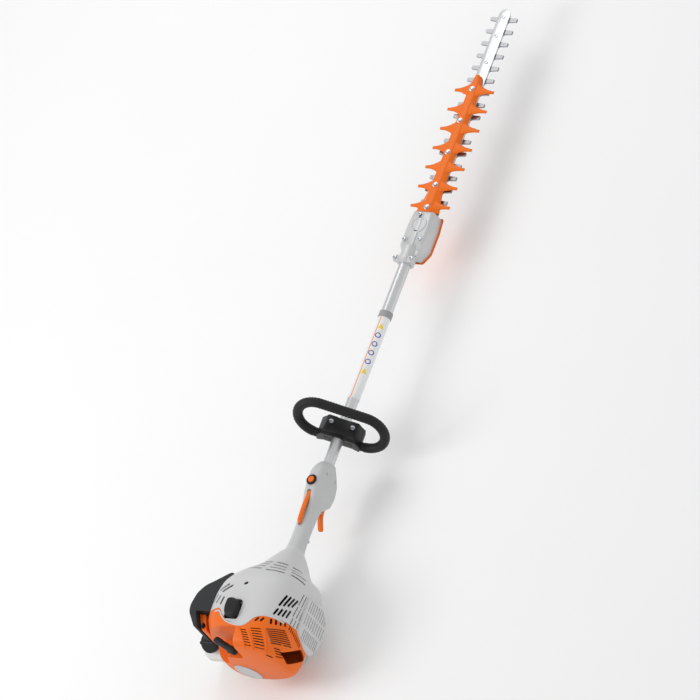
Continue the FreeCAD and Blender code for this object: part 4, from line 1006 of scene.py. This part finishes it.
# ------------------------------------------------------------------ gearbox and cutter
def build_gearbox():
    """Cast case with a raised spine, bosses, clamp ears and the orange wear plate."""
    plan = ((914, -17), (936, -30), (988, -30), (1022, -26), (1022, 26), (988, 30), (936, 30), (914, 17))
    rings = []
    for level, shrink in ((-30, 0.0), (-2, 0.0), (4, 1.5), (8, 6.0)):
        rings.append([spot(x + (968 - x) * shrink / 60, y - math.copysign(shrink, y), level)
                      for x, y in bend_points(plan, 4, 4)])
    case = rounded(loft("gear_case", rings), 1.2, 2, 40)
    carve(case, block("blade_mouth", 1015, 1030, -25, 25, -22, -11))
    socket = turned("tube_socket", ((18, 0), (19, 2), (19, 14), (18, 16), (18, 40)), (892, 0, 0), AHEAD)
    ears = rounded(block("ears", 893, 908, -26, 26, 3, 15), 3, 3)
    dome = turned("gear_dome", ((19, 6), (19, 9), (17.5, 10), (15.5, 10), (14.5, 8.6), (6, 8.6)), (987, -2, 0))
    spine = rounded(prism("spine", ((900, -9), (1014, -6), (1014, 6), (900, 9)), 5, 10), 2.5, 3)
    pad = rounded(block("flat_pad", 912, 926, -24, -9, 0, 6), 1.5, 2)
    screws = ((1010, 3), (950, -20), (948, 19))
    bosses = [turned("boss", ((6.5, 2), (6.5, 9.2), (5.6, 10)), (x, y, 0), steps=32) for x, y in screws]
    pieces = joined("gearbox_case", [case, socket, ears, dome, spine, pad] + bosses)
    dress(pieces, "frame", "gearbox_grey", ["gearbox_housing", "grease_plug"])
    wear = ((912, -20), (935, -33), (989, -33), (1024, -29), (1024, 29), (989, 33), (935, 33), (912, 20))
    shoe = rounded(prism("wear_shoe", bend_points(wear, 4, 4), -33, -30), 0.8)
    dress(shoe, "frame", "housing_orange", ["wear_plate"])
    frames = upright([(x, y, 9.6) for x, y in screws] + [(900, y, 15) for y in (-21, 21)])
    dress(set_copies("gearbox_bolt_heads", hex_bolt(4.2, 4.0), frames), "frame", "bright_steel", ["gearbox_screws"])


BOLT_PLACES = (1033, 1088, 1168, 1246, 1324)
BAR_BOLTS = (1397, 1462, 1509)


def build_guard():
    """Tooth guard: a bevelled channel with hooked fins that droop to the teeth."""
    half = ((1022, 30), (1036, 27), (1050, 23), (1070, 19.5), (1088, 17.5), (1120, 16), (1160, 15.3), (1240, 15.3),
            (1325, 15.3), (1340, 12.5), (1352, 9), (1359, 5.5))
    rings = []
    for x, reach in half:
        top = min(9.5, reach * 0.62)
        section = ((-reach, -10.4), (-reach, -6.5), (-top, 1.2), (-top + 1.2, 2.0), (top - 1.2, 2.0), (top, 1.2),
                   (reach, -6.5), (reach, -10.4), (reach - 1.8, -10.4), (reach - 1.8, -7), (top - 1.2, -0.6),
                   (1.2 - top, -0.6), (1.8 - reach, -7), (1.8 - reach, -10.4))
        rings.append([spot(x, y, z) for y, z in section])
    channel = rounded(loft("guard_channel", rings), 0.6, 2, 40)
    frames = [(spot(1040 + 47.3 * index, 0, 0), UP, (way, 0, 0)) for index in range(7) for way in (1, -1)]
    fins = set_copies("guard_fins", rounded(fin_shape(), 0.8, 2, 40), frames, "control_orange")
    bosses = [turned("guard_boss", ((7.5, -11), (7.5, 1.6), (6.5, 2.6)), (x, 0, 0), steps=32)
              for x in BOLT_PLACES]
    guard = joined("guard", [channel, fins] + bosses)
    dress(guard, "frame", "control_orange", ["tooth_guard"])


def fin_shape():
    """Loose fin that reaches out along +Y: a wide root, a curved neck and a blunt drooped tip."""
    rings = []
    for share in [k / 10 for k in range(11)]:
        y = 9 + 41 * share
        spread = 13 * (1 - share) ** 2.2 + 3.3
        top = 0.6 - 7.6 * share ** 0.9
        thick = 5.5 - 1.8 * share
        rings.append([Vector((u * spread, y, top + (v - 0.5) * thick)) * MM
                      for u, v in ((-1, -0.6), (-1, 0.2), (-0.55, 0.5), (0.55, 0.5), (1, 0.2), (1, -0.6))])
    return loft("fin", rings)


def tooth_outline():
    """Half of a blade's outline, from its yoke in the gearbox along 16 teeth to the tip."""
    reach, half = 34, 12.0
    points = [(956, 22.5), (1030, 22.5), (1030, half)]
    for index in range(16):
        x = 1505 - 30 * (15 - index)
        points += [(x - 11, half), (x - 8, half + 1), (x - 6, half + 4), (x - 4.6, reach - 1), (x - 3.6, reach),
                   (x + 2.8, reach), (x + 3.8, reach - 1), (x + 4.6, half + 4), (x + 6, half + 1), (x + 8, half)]
    points += [(1516, half), (1520, half - 5)]
    return points


def build_blades():
    """Two toothed blades, ground to a bevel, and the bar that guides them."""
    edge = tooth_outline()
    outline = edge + [(x, -y) for x, y in reversed(edge)]
    for name, node, body, level in (("blade_over", "upper_blade", "top_blade", -14.45),
                                    ("blade_under", "lower_blade", "bottom_blade", -16.7)):
        blade = prism(name, outline, level - 2.2, level)
        carve(blade, block("window", 961, 1013, -18.5, 18.5, level - 9, level + 9))
        for x in BOLT_PLACES + BAR_BOLTS:
            carve(blade, prism("slot", [(x + u, v) for u, v in capsule(23, 6.6)], level - 9, level + 9))
        dress(rounded(outward(blade), 0.4, 1, 50), body, "blade_steel", [node], angle=25)
    bar_plan = ((1016, -14.5), (1516, -14.5), (1524, -11), (1528, -5), (1528, 5), (1524, 11), (1516, 14.5),
                (1016, 14.5))
    bar = rounded(prism("bar", bend_points(bar_plan, 4, 4), -14.4, -11.4), 0.8, 2, 40)
    for x in BAR_BOLTS:
        carve(bar, turned("bar_hole", ((3, -20), (3, -5)), (x, 0, 0), steps=24))
    dress(outward(bar), "frame", "bar_steel", ["guide_bar"])
    heads = set_copies("guard_bolt_heads", hex_bolt(5.0, 3.6, False), upright([(x, 0, 2.2) for x in BOLT_PLACES]))
    bar_heads = set_copies("bar_bolt_heads", hex_bolt(4.2, 1.6), upright([(x, 0, -11.4) for x in BAR_BOLTS]))
    under = [(spot(x, 0, -19.0), (0, 0, -1), AHEAD) for x in BOLT_PLACES + BAR_BOLTS]
    nuts = set_copies("blade_nuts", hex_bolt(4.8, 4.5, False), under)
    dress(joined("blade_bolt_set", [heads, bar_heads, nuts]), "frame", "bright_steel", ["blade_bolts"])


# ------------------------------------------------------------------ stage
def place_camera():
    """Very long lens behind, above and to the right of the engine, rolled with the tool."""
    right = Vector((0.3323, -0.8183, -0.4690))
    up = Vector((0.8656, 0.0671, 0.4963))
    back = right.cross(up).normalized()
    up = back.cross(right).normalized()
    target = Vector((0.696, 0.082, 0.075))
    distance = 60.0
    data = bpy.data.cameras.new("camera")
    data.sensor_width = 36.0
    view_width = 1.484
    data.lens = data.sensor_width * distance / view_width
    data.clip_end = 150.0
    camera = new_object("camera", data)
    turn = Matrix((right, up, back)).transposed().to_4x4()
    camera.matrix_world = Matrix.Translation(target + back * distance) @ turn
    bpy.context.scene.camera = camera


def light(name, place, aim, size, power):
    """Square area lamp at a place in metres, aimed at a point."""
    data = bpy.data.lights.new(name, "AREA")
    data.shape = "SQUARE"
    data.size = size
    data.energy = power
    lamp = new_object(name, data)
    direction = Vector(aim) - Vector(place)
    lamp.rotation_euler = direction.to_track_quat("-Z", "Y").to_euler()
    lamp.location = place


def build_stage():
    """Pale floor and soft studio light."""
    floor = loft("studio_floor", [[Vector((x, y, z)) for x, y in ((-14, -14), (16, -14), (16, 14), (-14, 14))]
                                  for z in (-0.012, -0.002)])
    floor.data.materials.append(floor_paper())
    world = bpy.data.worlds.new("studio")
    world.use_nodes = True
    backdrop = world.node_tree.nodes["Background"]
    backdrop.inputs["Color"].default_value = (1.0, 1.0, 1.0, 1.0)
    backdrop.inputs["Strength"].default_value = 0.66
    bpy.context.scene.world = world
    light("key", (-0.9, 1.9, 2.4), (0.4, 0, 0.1), 1.5, 34)
    light("fill", (0.2, -2.6, 2.2), (0.4, 0, 0.1), 2.4, 8)
    light("tip", (2.4, 0.9, 2.0), (1.1, 0, 0.1), 1.4, 12)
    bpy.context.scene.view_settings.view_transform = "Standard"


def dress_frame():
    """Every CAD node that stays in view gets its own finish."""
    slots_of = {part["node"]: part["material_slot"] for part in frame["record"]["subparts"]}
    for name, obj in frame["nodes"].items():
        obj.data.materials.clear()
        obj.data.materials.append(LOOK[slots_of[name]])


for build in (place_camera, build_stage, dress_frame, build_shroud, build_side_guard, build_notch_rim,
              build_starter_housing, build_badge, build_boot, build_intake, build_tank, build_starter_grip,
              build_handle, build_controls, build_loop, build_gearbox, build_guard, build_blades):
    build()
